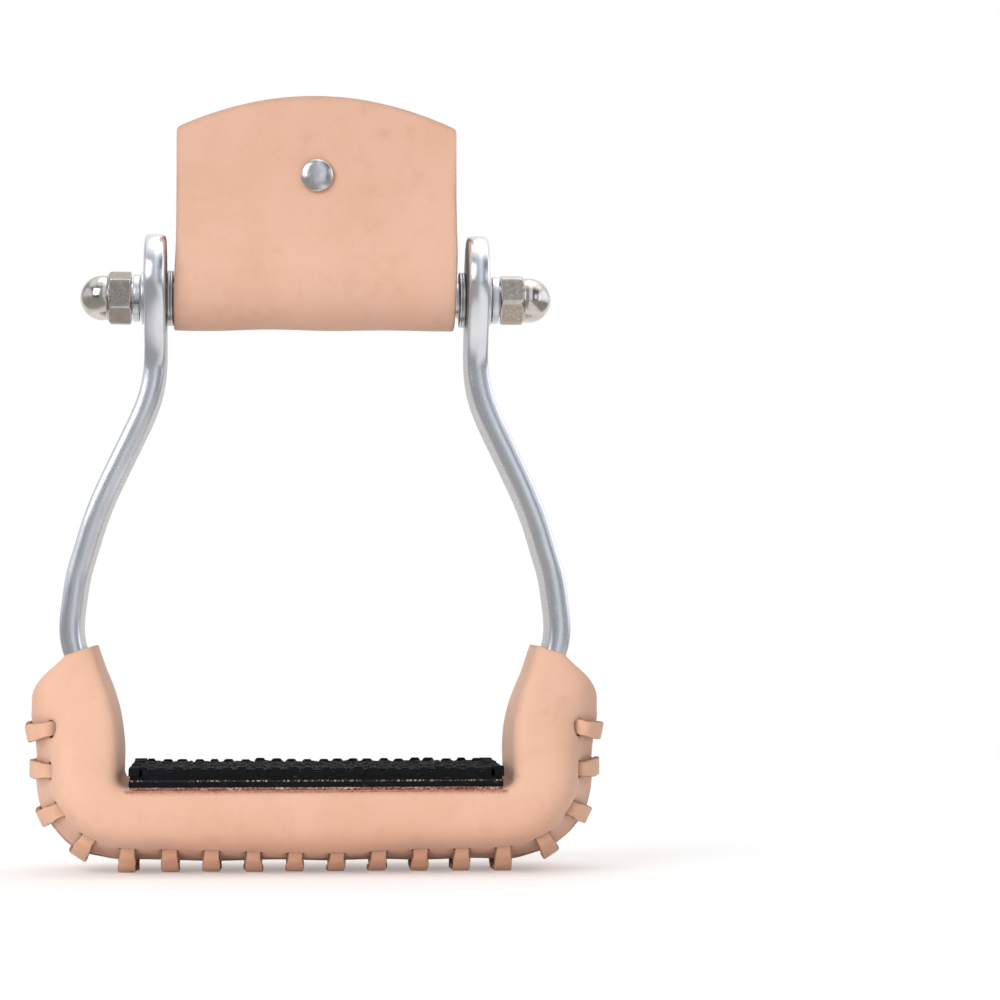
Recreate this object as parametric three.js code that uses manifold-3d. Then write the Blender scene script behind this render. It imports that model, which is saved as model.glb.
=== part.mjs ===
// Barrel racer stirrup: a bent aluminium frame whose foot is wrapped in moulded leather and laced
// along its outside, a rough rubber tread, and a folded leather neck piece that turns on the bolt.
// Millimetres, +X across the stirrup, -Y to the front, +Z up. The lowest lacing touches Z = 0.

import * as THREE from 'three';
import { mergeVertices } from 'three/addons/utils/BufferGeometryUtils.js';
import Module from 'manifold-3d';

const wasm = await Module();
wasm.setup();

// Running clearance between pieces that seat on each other, and the overrun of every cut
const SEAT = 0.3;
const OVERRUN = 1;

// Foot cover: one sheet of moulded leather
const COVER_SKIN = 2.8;
const COVER_FILLET = 3;
const COVER_BULGE = 16.6;
const COVER_HALF_DEPTH = 30;
const COVER_RISE = 37.8;

// Lace: a flat leather thong that crosses the outside of the cover
const LACE_WIDE = 5;
const LACE_THICK = 1.8;
const LACE_ARCH = 1.4;
const LACE_PITCH = 12.4;
const LACE_HOLE_LONG = 5.6;
const LACE_HOLE_WIDE = 3;
const LACE_TAIL = 7;
const LACE_STRAPS_A_SIDE = 9;

// Frame: one bent bar, flattened wide under the foot and rounded to an ear at each top end
const BAR_THICK = 6.35;
const BAR_WIDE = 25.4;
const BAR_EDGE = 1.1;
const NECK_GAP = 90;
const BELLY_HALF = 73.1;
const FOOT_HALF = 64.6;
const BELLY_Z = 73.2;
const NECK_Z = 151.2;
const PLATE_EDGE_ROOM = 2.2;

// Ear at each top end of the frame, and the bolt that crosses them
const BOLT_Z = 172;
const BOLT_FORWARD = 3.5;
const EAR_RADIUS = 14.6;
const EAR_FORWARD = 10;
const EAR_ABOVE_BOLT = 4.1;
const EAR_FRONT_BLEND = 26;
const EAR_BACK_BLEND = 34;

// Bolt hardware along the X axis
const STUD_RADIUS = 4.76;
const STUD_INTO_NUT = 11.5;
const NUT_FLATS = 14.29;
const NUT_HEX_LONG = 7.2;
const NUT_DOME_RADIUS = 6.75;
const NUT_DOME_NECK = 1.6;
const NUT_CORNER_CUT = 1.1;
const NUT_LEFT_TURN_SHARE = 0.11;
const NUT_RIGHT_TURN_SHARE = 0.35;
const NUT_BORE_SPARE = 0.8;
const FLAT_WASHER_RADIUS = 7.9;
const FLAT_WASHER_THICK = 0.9;
const LOCK_WASHER_RADIUS = 7.1;
const LOCK_WASHER_THICK = 2.2;
const LOCK_WASHER_SPLIT = 1.2;
const INNER_WASHER_RADIUS = 8.35;
const INNER_WASHER_THICK = 1.7;
const SLEEVE_WALL = 0.5;

// Neck leather: one strap folded under the bolt, both ends standing up
const NECK_SKIN = 3.6;
const NECK_SIDE_ROOM = 0.9;
const NECK_RISE = 61.2;
const NECK_LOOP_RADIUS = 13.9;
const NECK_ARCH = 9.7;
const NECK_CORNER = 3;
const NECK_SLIT_HALF = 0.25;

// Rivet through both ends of the neck leather
const RIVET_RISE_SHARE = 0.604;
const RIVET_CAP_RADIUS = 5;
const RIVET_CAP_HIGH = 1.9;
const RIVET_CAP_RIM = 0.6;
const RIVET_POST_RADIUS = 1.6;
const RIVET_POST_SHORT = 0.9;

// Tread: a rough-topped rubber sheet with a woven ply inside
const PAD_SIDE_ROOM = 1.7;
const PAD_BACKING = 1.6;
const PAD_PLY = 0.5;
const PAD_RUBBER = 2.4;
const PAD_RIB_HIGH = 1.3;
const PAD_RIBS = 24;

// Middle line of the arm, chosen by eye: how far out, and how far up its stretch, as shares
const LOWER_ARM_SHARES = [
  [0, 0], [0, 0.14], [0.06, 0.32], [0.17, 0.43], [0.35, 0.54], [0.57, 0.65], [0.77, 0.77], [0.94, 0.88], [1, 1],
];
const UPPER_ARM_SHARES = [
  [0.03, 0.1], [0.08, 0.2], [0.17, 0.3], [0.265, 0.4], [0.385, 0.5], [0.53, 0.6], [0.68, 0.7], [0.83, 0.8],
  [0.95, 0.9], [1, 1],
];

// Cross section of the cover from the middle of its inner face to the seam: depth in, width out
const SECTION_SHARES = [
  [0, 0], [0, 0.86], [0.04, 0.955], [0.12, 0.99], [0.3, 1], [0.5, 0.985], [0.68, 0.9],
  [0.8, 0.75], [0.89, 0.55], [0.95, 0.35], [0.985, 0.17], [1, 0],
];
const SECTION_KNEE_STEPS = 4;

// The cover along its run: 0 the middle of the tread, 1 to 2 the corner, 3 the top edge on the arm.
// Each row: place, then shares of the bulge, the half depth, the seam's half gap, the lace's reach
// and its arch, and how far the section is drawn in between its side and its seam.
const COVER_KEY_SHARES = [
  [0, 1, 1, 0.014, 0.467, 1, 0],
  [1, 1, 1, 0.014, 0.48, 1, 0.07],
  [1.22, 1.01, 1, 0.014, 0.485, 0.9, 0.1],
  [1.41, 1.11, 1, 0.015, 0.485, 0.7, 0.12],
  [1.63, 1.14, 0.995, 0.02, 0.495, 0.5, 0.12],
  [1.8, 1.19, 0.985, 0.03, 0.505, 0.35, 0.11],
  [2, 1.18, 0.965, 0.055, 0.525, 0.3, 0.09],
  [2.18, 1.18, 0.9, 0.1, 0.555, 0.2, 0.06],
  [2.31, 1.19, 0.835, 0.125, 0.58, 0.15, 0.04],
  [2.45, 1.2, 0.757, 0.147, 0.59, 0.15, 0.02],
  [2.63, 1.17, 0.68, 0.2, 0.55, 0.15, 0],
  [2.72, 1.13, 0.64, 0.25, 0.5, 0.15, 0],
  [2.82, 1.05, 0.6, 0.327, 0.5, 0.15, 0],
  [2.91, 0.85, 0.565, 0.45, 0.5, 0.15, 0],
  [3, 0.43, 0.535, 0.524, 0.5, 0.15, 0],
];

// Outside of the neck leather from its round fold to its flat flap: half width, and way up
const NECK_SIDE_SHARES = [
  [1, 0.017], [0.98, 0.15], [0.885, 0.26], [0.73, 0.394], [0.515, 0.594], [0.365, 0.8], [0.3, 0.92],
];

// Lace crossing, hole to hole: distance from the middle as a share of its reach
const LACE_CROSS_SHARES = [0.86, 0.72, 0.43];
const LACE_RISE_SHARES = [0.25, 0.6, 1];
const LACE_THROAT_SHARE = 0.84;

// Counts
const ROUND_STEPS = 28;
const TREAD_STEPS = 2;
const CORNER_STEPS = 7;
const COVER_ARM_STEPS = 11;
const BAR_ARM_STEPS = 22;
const EAR_STEPS = 7;
const EAR_CROWN_STEPS = 8;
const FOLD_STEPS = 8;
const DOME_STEPS = 5;
const HOLE_STEPS = 2;
const LACE_SEARCH_STEPS = 200;
const HEX_SIDES = 6;
const MITRE_LIMIT_SHARE = 1.35;
const EAR_CROWN_SHARE = 0.96;

// Places that follow from the sizes above
const barHalf = BAR_WIDE / 2;
const innerOffset = BAR_THICK / 2 + SEAT + COVER_SKIN;
const cornerRadius = COVER_FILLET + innerOffset;
const plateZ = COVER_BULGE + LACE_ARCH + LACE_THICK;
const treadHalf = FOOT_HALF - cornerRadius;
const padHalf = treadHalf - SEAT;
const padHalfDepth = COVER_HALF_DEPTH - PAD_SIDE_ROOM;
const cornerTopZ = plateZ + cornerRadius;
const treadTopZ = plateZ + innerOffset;
const armInner = NECK_GAP / 2;
const armMiddle = armInner + BAR_THICK / 2;
const armOuter = armInner + BAR_THICK;
const earZ = BOLT_Z + EAR_ABOVE_BOLT;
const boltY = -BOLT_FORWARD;
const boltBore = STUD_RADIUS + SEAT;
const sleeveRadius = boltBore + SLEEVE_WALL;
const neckWide = NECK_GAP - 2 * (SEAT + INNER_WASHER_THICK + NECK_SIDE_ROOM);
const neckLoopRise = NECK_LOOP_RADIUS - (sleeveRadius + SEAT + NECK_SKIN);
const rivetRise = NECK_RISE * RIVET_RISE_SHARE;
const flapRise = rivetRise - RIVET_CAP_RADIUS - OVERRUN;
const lockSplitLean = Math.PI / 6;

const { lerp, smoothstep } = THREE.MathUtils;

// Finishes: colour, roughness, metalness
function finish(color, roughness, metalness) {
  return new THREE.MeshStandardMaterial({ color, roughness, metalness });
}
const aluminium = () => finish(0xc9ccd1, 0.28, 1);
const nickel = () => finish(0xb9b4ad, 0.16, 1);
const zinc = () => finish(0xa9abad, 0.35, 1);
const natural = () => finish(0xe2b08f, 0.62, 0);
const rubber = () => finish(0x14161a, 0.7, 0);
const weave = () => finish(0x6d625c, 0.9, 0);

// A closed mesh as a solid that can be joined and cut
function solidOf(geometry) {
  const bare = new THREE.BufferGeometry();
  bare.setAttribute('position', geometry.getAttribute('position'));
  bare.setIndex(geometry.index);
  const merged = mergeVertices(bare);
  return new wasm.Manifold(new wasm.Mesh({
    numProp: 3,
    vertProperties: merged.getAttribute('position').array,
    triVerts: new Uint32Array(merged.index.array),
  }));
}

// A named mesh of one sub-part
function piece(name, solid, material) {
  const { vertProperties, triVerts } = solid.getMesh();
  const geometry = new THREE.BufferGeometry();
  geometry.setAttribute('position', new THREE.BufferAttribute(vertProperties, 3));
  geometry.setIndex(new THREE.BufferAttribute(triVerts, 1));
  geometry.computeVertexNormals();
  const mesh = new THREE.Mesh(geometry, material);
  mesh.name = name;
  return mesh;
}

// A closed solid through equal rings of points. Each end is closed by a ladder between the
// ring's first half and its second half, which also suits a ring folded like a hairpin.
function loft(rings) {
  const sides = rings[0].length;
  const positions = rings.flat().flatMap((p) => [p.x, p.y, p.z]);
  const index = [];
  for (let r = 0; r + 1 < rings.length; r += 1) {
    for (let k = 0; k < sides; k += 1) {
      const a = r * sides + k;
      const b = r * sides + ((k + 1) % sides);
      index.push(a, b, b + sides, a, b + sides, a + sides);
    }
  }
  const last = (rings.length - 1) * sides;
  for (let k = 0; k + 1 < sides / 2; k += 1) {
    const across = sides - 1 - k;
    index.push(k, across, across - 1, k, across - 1, k + 1);
    index.push(last + k, last + across - 1, last + across, last + k, last + k + 1, last + across - 1);
  }
  const geometry = new THREE.BufferGeometry();
  geometry.setAttribute('position', new THREE.Float32BufferAttribute(positions, 3));
  geometry.setIndex(index);
  return geometry;
}

// A turned solid about the X axis from [radius, x] pairs
function turned(profile) {
  const points = profile.map(([radius, x]) => new THREE.Vector2(radius, x));
  return new THREE.LatheGeometry(points, ROUND_STEPS).rotateZ(-Math.PI / 2);
}

// A washer or tube about the X axis, centred on its own middle
function ring(inner, outer, long) {
  const half = long / 2;
  return turned([[inner, -half], [outer, -half], [outer, half], [inner, half], [inner, -half]]);
}

// A solid rod about the X axis, centred on its own middle
function rod(radius, long) {
  return new THREE.CylinderGeometry(radius, radius, long, ROUND_STEPS).rotateZ(-Math.PI / 2);
}

// Middle line of the right arm, from the top of the foot corner to the foot of the ear
function armCurve() {
  const lower = LOWER_ARM_SHARES.map(([out, up]) => (
    new THREE.Vector3(lerp(FOOT_HALF, BELLY_HALF, out), 0, lerp(cornerTopZ, BELLY_Z, up))
  ));
  const upper = UPPER_ARM_SHARES.map(([inward, up]) => (
    new THREE.Vector3(lerp(BELLY_HALF, armMiddle, inward), 0, lerp(BELLY_Z, NECK_Z, up))
  ));
  return new THREE.CatmullRomCurve3([...lower, ...upper], false, 'centripetal');
}
const arm = armCurve();
const armLong = arm.getLength();

// The cover's sizes at a place along its run, between the rows of its table
function coverSizes(place) {
  const rows = COVER_KEY_SHARES;
  let k = 1;
  while (k + 1 < rows.length && rows[k][0] < place) k += 1;
  const t = (place - rows[k - 1][0]) / (rows[k][0] - rows[k - 1][0]);
  const [, bulge, half, lip, reach, arch, keel] = rows[k].map((value, c) => lerp(rows[k - 1][c], value, t));
  return {
    bulge: bulge * COVER_BULGE,
    half: half * COVER_HALF_DEPTH,
    lip: lip * COVER_HALF_DEPTH,
    reach: reach * COVER_HALF_DEPTH,
    arch: arch * LACE_ARCH,
    keelShare: keel,
  };
}

// A point of the frame's middle line with its outward direction, at a distance along the arm
function armStation(along, side) {
  const share = Math.min(along / armLong, 1);
  const p = arm.getPointAt(share);
  const t = arm.getTangentAt(share);
  return { x: side * p.x, z: p.z, nx: side * t.z, nz: -t.x };
}

// A place of the cover's run on the right (side 1) or left (side -1) half of the frame
function station(place, side) {
  const sizes = coverSizes(place);
  if (place <= 1) return { x: side * place * treadHalf, z: plateZ, nx: 0, nz: -1, ...sizes };
  if (place <= 2) {
    const angle = ((place - 1) * Math.PI) / 2;
    const x = side * (treadHalf + cornerRadius * Math.sin(angle));
    const z = cornerTopZ - cornerRadius * Math.cos(angle);
    return { x, z, nx: side * Math.sin(angle), nz: -Math.cos(angle), ...sizes };
  }
  return { ...armStation((place - 2) * COVER_RISE, side), ...sizes };
}

// A point of a station: outward from the frame's middle line, and front to back
function at(s, outward, y) {
  return new THREE.Vector3(s.x + outward * s.nx, y, s.z + outward * s.nz);
}

// Places of the cover's run for one half, from the middle of the tread to the top edge
function coverPlaces() {
  const places = [];
  for (let k = 0; k < TREAD_STEPS; k += 1) places.push(k / TREAD_STEPS);
  for (let k = 0; k < CORNER_STEPS; k += 1) places.push(1 + k / CORNER_STEPS);
  for (let k = 0; k <= COVER_ARM_STEPS; k += 1) places.push(2 + k / COVER_ARM_STEPS);
  return places;
}

// Eight-sided section of the bar with cut corners, from its front edge to its back edge
function barRing(s, front, back, halfThick) {
  const cut = Math.min(BAR_EDGE, (back - front) / 4);
  const shoulder = halfThick - Math.min(BAR_EDGE, halfThick / 2);
  return [
    at(s, -shoulder, front), at(s, -halfThick, front + cut), at(s, -halfThick, back - cut), at(s, -shoulder, back),
    at(s, shoulder, back), at(s, halfThick, back - cut), at(s, halfThick, front + cut), at(s, shoulder, front),
  ];
}

// Front and back edges of the bar at a height of the arm: the ear leans to the front
function earEdges(z) {
  const below = earZ - z;
  const frontShare = 1 - smoothstep(below, 0, EAR_FRONT_BLEND);
  const backShare = 1 - smoothstep(below, 0, EAR_BACK_BLEND);
  return {
    front: -barHalf - (EAR_FORWARD + EAR_RADIUS - barHalf) * frontShare,
    back: barHalf - (barHalf - EAR_RADIUS + EAR_FORWARD) * backShare,
  };
}

// Sections of one half of the frame, from the middle of the tread to the crown of the ear
function barHalfRings(side) {
  const rings = [];
  const halfThick = BAR_THICK / 2;
  for (const place of coverPlaces()) {
    const s = station(place, side);
    const half = Math.max(barHalf, s.half - COVER_SKIN - PLATE_EDGE_ROOM);
    rings.push(barRing(s, -half, half, halfThick));
  }
  for (let k = 1; k <= BAR_ARM_STEPS; k += 1) {
    const s = armStation(lerp(COVER_RISE, armLong, k / BAR_ARM_STEPS), side);
    const { front, back } = earEdges(s.z);
    rings.push(barRing(s, front, back, halfThick));
  }
  for (let k = 1; k <= EAR_STEPS; k += 1) {
    const s = { x: side * armMiddle, z: lerp(NECK_Z, earZ, k / EAR_STEPS), nx: side, nz: 0 };
    const { front, back } = earEdges(s.z);
    rings.push(barRing(s, front, back, halfThick));
  }
  for (let k = 1; k <= EAR_CROWN_STEPS; k += 1) {
    const angle = (k / EAR_CROWN_STEPS) * EAR_CROWN_SHARE * (Math.PI / 2);
    const s = { x: side * armMiddle, z: earZ + EAR_RADIUS * Math.sin(angle), nx: side, nz: 0 };
    const reach = EAR_RADIUS * Math.cos(angle);
    const thick = k < EAR_CROWN_STEPS ? halfThick : halfThick - BAR_EDGE;
    rings.push(barRing(s, -EAR_FORWARD - reach, -EAR_FORWARD + reach, thick));
  }
  return rings;
}

function frameSolid() {
  const right = barHalfRings(1).slice(1).reverse();
  const bar = solidOf(loft([...right, ...barHalfRings(-1)]));
  const hole = rod(boltBore, NECK_GAP + 2 * (BAR_THICK + OVERRUN)).translate(0, boltY, BOLT_Z);
  return bar.subtract(solidOf(hole));
}

// Half of the cover's section as [outward, y] pairs, on the grain side or a skin deep
function coverSection(s, depth) {
  const inside = depth - innerOffset;
  const outside = s.bulge - depth;
  const half = s.half - depth;
  const points = SECTION_SHARES.map(([deep, wide], k) => {
    const drawnIn = k > SECTION_KNEE_STEPS ? s.keelShare * 4 * wide * (1 - wide) : 0;
    return [lerp(inside, outside, deep - drawnIn), wide * half];
  });
  let end = SECTION_KNEE_STEPS;
  while (end + 2 < points.length && points[end + 1][1] > s.lip) end += 1;
  const cut = (points[end][1] - s.lip) / (points[end][1] - points[end + 1][1]);
  const stop = end + Math.min(Math.max(cut, 0), 1);
  const far = points.length - 1 - SECTION_KNEE_STEPS;
  return points.map((p, k) => {
    if (k <= SECTION_KNEE_STEPS) return p;
    const place = SECTION_KNEE_STEPS + ((stop - SECTION_KNEE_STEPS) * (k - SECTION_KNEE_STEPS)) / far;
    const low = Math.min(Math.floor(place), points.length - 2);
    return p.map((value, c) => lerp(points[low][c], points[low + 1][c], place - low));
  });
}

// The cover's closed section: over the grain side from lip to lip, and back along the flesh side
function coverRing(s) {
  const wholeLine = (depth) => {
    const half = coverSection(s, depth);
    const front = half.slice(1).reverse().map(([outward, y]) => at(s, outward, -y));
    return [...front, ...half.map(([outward, y]) => at(s, outward, y))];
  };
  return [...wholeLine(0), ...wholeLine(COVER_SKIN).reverse()];
}

// Point and outward direction of the cover's grain side where a lace hole goes
function holeSpot(s, sign) {
  const line = coverSection(s, 0);
  let k = line.length - 2;
  while (line[k][1] < s.reach) k -= 1;
  const [low, high] = [line[k], line[k + 1]];
  const t = (low[1] - s.reach) / (low[1] - high[1]);
  const outward = lerp(low[0], high[0], t);
  const run = new THREE.Vector2(high[0] - low[0], high[1] - low[1]).normalize();
  const face = new THREE.Vector3(-run.y * s.nx, sign * run.x, -run.y * s.nz);
  return { point: at(s, outward, sign * s.reach), face };
}

// Direction along the run of the cover, the way that the width of the lace lies
function runDirection(s) {
  return new THREE.Vector3(-s.nz, 0, s.nx);
}

// Stations of the lace crossings, evenly spaced along the line of holes, from left to right
function laceStations() {
  const marks = [];
  const finest = 3 * LACE_SEARCH_STEPS;
  let previous = holeSpot(station(0, 1), 1).point;
  let gone = 0;
  for (let k = 1; k <= finest && marks.length < LACE_STRAPS_A_SIDE; k += 1) {
    const place = k / LACE_SEARCH_STEPS;
    const { point } = holeSpot(station(place, 1), 1);
    gone += point.distanceTo(previous);
    previous = point;
    if (gone >= (marks.length + 1 / 2) * LACE_PITCH) marks.push(place);
  }
  const left = marks.map((place) => station(place, -1)).reverse();
  return [...left, ...marks.map((place) => station(place, 1))];
}
const crossings = laceStations();

// A punched hole with round ends, square to the cover at a lace hole
function holeCutter(s, sign) {
  const { point, face } = holeSpot(s, sign);
  const end = LACE_HOLE_WIDE / 2;
  const straight = LACE_HOLE_LONG / 2 - end;
  const outline = new THREE.Shape();
  outline.absarc(straight, 0, end, -Math.PI / 2, Math.PI / 2, false);
  outline.absarc(-straight, 0, end, Math.PI / 2, (3 * Math.PI) / 2, false);
  const deep = 2 * (COVER_SKIN + OVERRUN);
  const options = { depth: deep, bevelEnabled: false, curveSegments: HOLE_STEPS };
  const geometry = new THREE.ExtrudeGeometry(outline, options);
  geometry.translate(0, 0, -deep / 2 - COVER_SKIN / 2);
  const along = runDirection(s);
  const turn = new THREE.Matrix4().makeBasis(along, new THREE.Vector3().crossVectors(face, along), face);
  return solidOf(geometry.applyMatrix4(turn.setPosition(point)));
}

function coverSolid() {
  const places = coverPlaces();
  const right = places.slice(1).reverse().map((place) => coverRing(station(place, 1)));
  const left = places.map((place) => coverRing(station(place, -1)));
  let cover = solidOf(loft([...right, ...left]));
  for (const s of crossings) {
    for (const sign of [-1, 1]) cover = cover.subtract(holeCutter(s, sign));
  }
  return cover;
}

// Distance outward of the cover's grain side at a distance from its middle
function grainOutward(s, y) {
  const line = coverSection(s, 0);
  let k = line.length - 2;
  while (line[k][1] < y) k -= 1;
  const t = Math.min((line[k][1] - y) / (line[k][1] - line[k + 1][1]), 1);
  return lerp(line[k][0], line[k + 1][0], t);
}

// Route of the lace through one crossing: up through the front hole, over, down the back hole
function crossingRoute(s) {
  const along = runDirection(s);
  const throat = LACE_WIDE * LACE_THROAT_SHARE;
  const over = SEAT + LACE_THICK / 2;
  const under = COVER_SKIN + SEAT + LACE_THICK / 2;
  const crest = s.bulge + s.arch + LACE_THICK / 2;
  const half = (sign) => {
    const { point, face } = holeSpot(s, sign);
    const inside = { point: point.clone().addScaledVector(face, -under), along, wide: throat };
    const mouth = { point: point.clone().addScaledVector(face, over), along, wide: throat };
    const rising = LACE_CROSS_SHARES.map((share, k) => {
      const low = grainOutward(s, share * s.reach) + over;
      const outward = lerp(low, crest, LACE_RISE_SHARES[k]);
      return { point: at(s, outward, sign * share * s.reach), along, wide: LACE_WIDE };
    });
    return [inside, mouth, ...rising];
  };
  return [...half(-1), ...half(1).reverse()];
}

// Flat ring of the lace square to its way at one point of the route
function laceRing(route, k) {
  const { point, along, wide } = route[k];
  const before = (route[k - 1] ?? route[k]).point;
  const after = (route[k + 1] ?? route[k]).point;
  const arriving = k > 0 ? point.clone().sub(before).normalize() : after.clone().sub(point).normalize();
  const leaving = k + 1 < route.length ? after.clone().sub(point).normalize() : arriving;
  const way = arriving.clone().add(leaving).normalize();
  const across = along.clone().addScaledVector(way, -along.dot(way)).normalize();
  const through = new THREE.Vector3().crossVectors(way, across);
  const mitre = Math.min(1 / Math.max(way.dot(arriving), 1 / MITRE_LIMIT_SHARE), MITRE_LIMIT_SHARE);
  const w = across.multiplyScalar(wide / 2);
  const t = through.multiplyScalar((LACE_THICK / 2) * mitre);
  return [
    point.clone().add(w).add(t), point.clone().sub(w).add(t),
    point.clone().sub(w).sub(t), point.clone().add(w).sub(t),
  ];
}

function laceSolid() {
  const route = crossings.flatMap((s) => crossingRoute(s));
  const head = route[0];
  const tail = route[route.length - 1];
  const tailAt = (end) => {
    const inward = new THREE.Vector3(0, -Math.sign(end.point.y) * LACE_TAIL, 0);
    return { ...end, point: end.point.clone().add(inward) };
  };
  route.unshift(tailAt(head));
  route.push(tailAt(tail));
  return solidOf(loft(route.map((_, k) => laceRing(route, k))));
}

// Outline of the folded strap seen along the bolt: the outside, then back along the inside
function neckOutline() {
  const outer = [];
  for (let k = 0; k <= FOLD_STEPS; k += 1) {
    const angle = (k / FOLD_STEPS) * (Math.PI / 2);
    outer.push([NECK_LOOP_RADIUS * Math.sin(angle), neckLoopRise - NECK_LOOP_RADIUS * Math.cos(angle)]);
  }
  for (const [wide, up] of NECK_SIDE_SHARES) {
    outer.push([wide * NECK_LOOP_RADIUS, lerp(neckLoopRise, flapRise, up)]);
  }
  const flapHalf = NECK_SKIN + NECK_SLIT_HALF;
  outer.push([flapHalf, flapRise], [flapHalf, NECK_RISE + OVERRUN]);
  return outer;
}

// The same line moved inwards by the thickness of the leather
function neckInside(outer) {
  return outer.map(([y, z], k) => {
    const [y0, z0] = outer[Math.max(k - 1, 0)];
    const [y1, z1] = outer[Math.min(k + 1, outer.length - 1)];
    const run = k === 0 ? new THREE.Vector2(1, 0) : new THREE.Vector2(y1 - y0, z1 - z0).normalize();
    return [Math.max(y - run.y * NECK_SKIN, k === 0 ? 0 : NECK_SLIT_HALF), z + run.x * NECK_SKIN];
  });
}

function neckSolid() {
  const outer = neckOutline();
  const inner = neckInside(outer);
  const points = [
    ...outer.slice(1).reverse().map(([y, z]) => new THREE.Vector2(-y, z)),
    ...outer.map(([y, z]) => new THREE.Vector2(y, z)),
    ...inner.slice(1).reverse().map(([y, z]) => new THREE.Vector2(y, z)),
    ...inner.map(([y, z]) => new THREE.Vector2(-y, z)),
  ];
  const fold = new THREE.ExtrudeGeometry(new THREE.Shape(points), { depth: neckWide, bevelEnabled: false });
  fold.translate(0, 0, -neckWide / 2).rotateY(Math.PI / 2).rotateX(Math.PI / 2);
  const post = new THREE.CylinderGeometry(
    RIVET_POST_RADIUS + SEAT, RIVET_POST_RADIUS + SEAT, 2 * NECK_LOOP_RADIUS, ROUND_STEPS,
  ).translate(0, 0, rivetRise);
  return solidOf(fold).intersect(solidOf(neckFace())).subtract(solidOf(post));
}

// Front view of the neck leather: straight sides, small round corners and an arched top edge
function neckFace() {
  const half = neckWide / 2;
  const cornerZ = NECK_RISE - NECK_ARCH;
  const face = new THREE.Shape();
  face.moveTo(-half, -NECK_LOOP_RADIUS);
  face.lineTo(half, -NECK_LOOP_RADIUS);
  face.lineTo(half, cornerZ - NECK_CORNER);
  face.quadraticCurveTo(half, cornerZ, half - NECK_CORNER, cornerZ + NECK_CORNER / 3);
  face.quadraticCurveTo(0, NECK_RISE + NECK_ARCH - NECK_CORNER / 3, NECK_CORNER - half, cornerZ + NECK_CORNER / 3);
  face.quadraticCurveTo(-half, cornerZ, -half, cornerZ - NECK_CORNER);
  const deep = 4 * NECK_LOOP_RADIUS;
  const options = { depth: deep, bevelEnabled: false, curveSegments: FOLD_STEPS };
  const geometry = new THREE.ExtrudeGeometry(face, options);
  return geometry.translate(0, 0, -deep / 2).rotateX(Math.PI / 2);
}

// Cap nut: a hexagon with turned-off corners under a round dome, bored from its open side
function nutSolid(turnShare) {
  const hexRadius = NUT_FLATS / 2 / Math.cos(Math.PI / HEX_SIDES);
  const hex = new THREE.CylinderGeometry(hexRadius, hexRadius, NUT_HEX_LONG, HEX_SIDES).rotateZ(-Math.PI / 2);
  hex.translate(NUT_HEX_LONG / 2, 0, 0).rotateX((turnShare * 2 * Math.PI) / HEX_SIDES);
  const shoulder = NUT_FLATS / 2;
  const limit = turned([
    [0, 0], [shoulder, 0], [hexRadius, NUT_CORNER_CUT / 2], [hexRadius, NUT_HEX_LONG - NUT_CORNER_CUT / 2],
    [shoulder, NUT_HEX_LONG], [0, NUT_HEX_LONG],
  ]);
  const base = NUT_HEX_LONG - OVERRUN;
  const profile = [[0, base], [NUT_DOME_RADIUS, base], [NUT_DOME_RADIUS, NUT_HEX_LONG + NUT_DOME_NECK]];
  for (let k = 1; k <= DOME_STEPS; k += 1) {
    const angle = (k / DOME_STEPS) * (Math.PI / 2);
    profile.push([
      k < DOME_STEPS ? NUT_DOME_RADIUS * Math.cos(angle) : 0,
      NUT_HEX_LONG + NUT_DOME_NECK + NUT_DOME_RADIUS * Math.sin(angle),
    ]);
  }
  const bore = STUD_INTO_NUT + NUT_BORE_SPARE + OVERRUN;
  const hole = rod(boltBore, bore).translate(bore / 2 - OVERRUN, 0, 0);
  return solidOf(hex).intersect(solidOf(limit)).add(solidOf(turned(profile))).subtract(solidOf(hole));
}

// Spring lock washer: a thick ring cut through on a slant
function lockWasherSolid() {
  const slit = new THREE.BoxGeometry(2 * LOCK_WASHER_THICK, 2 * LOCK_WASHER_RADIUS, LOCK_WASHER_SPLIT);
  slit.rotateY(lockSplitLean).translate(0, LOCK_WASHER_RADIUS + OVERRUN / 2, 0);
  return solidOf(ring(boltBore, LOCK_WASHER_RADIUS, LOCK_WASHER_THICK)).subtract(solidOf(slit));
}

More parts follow.
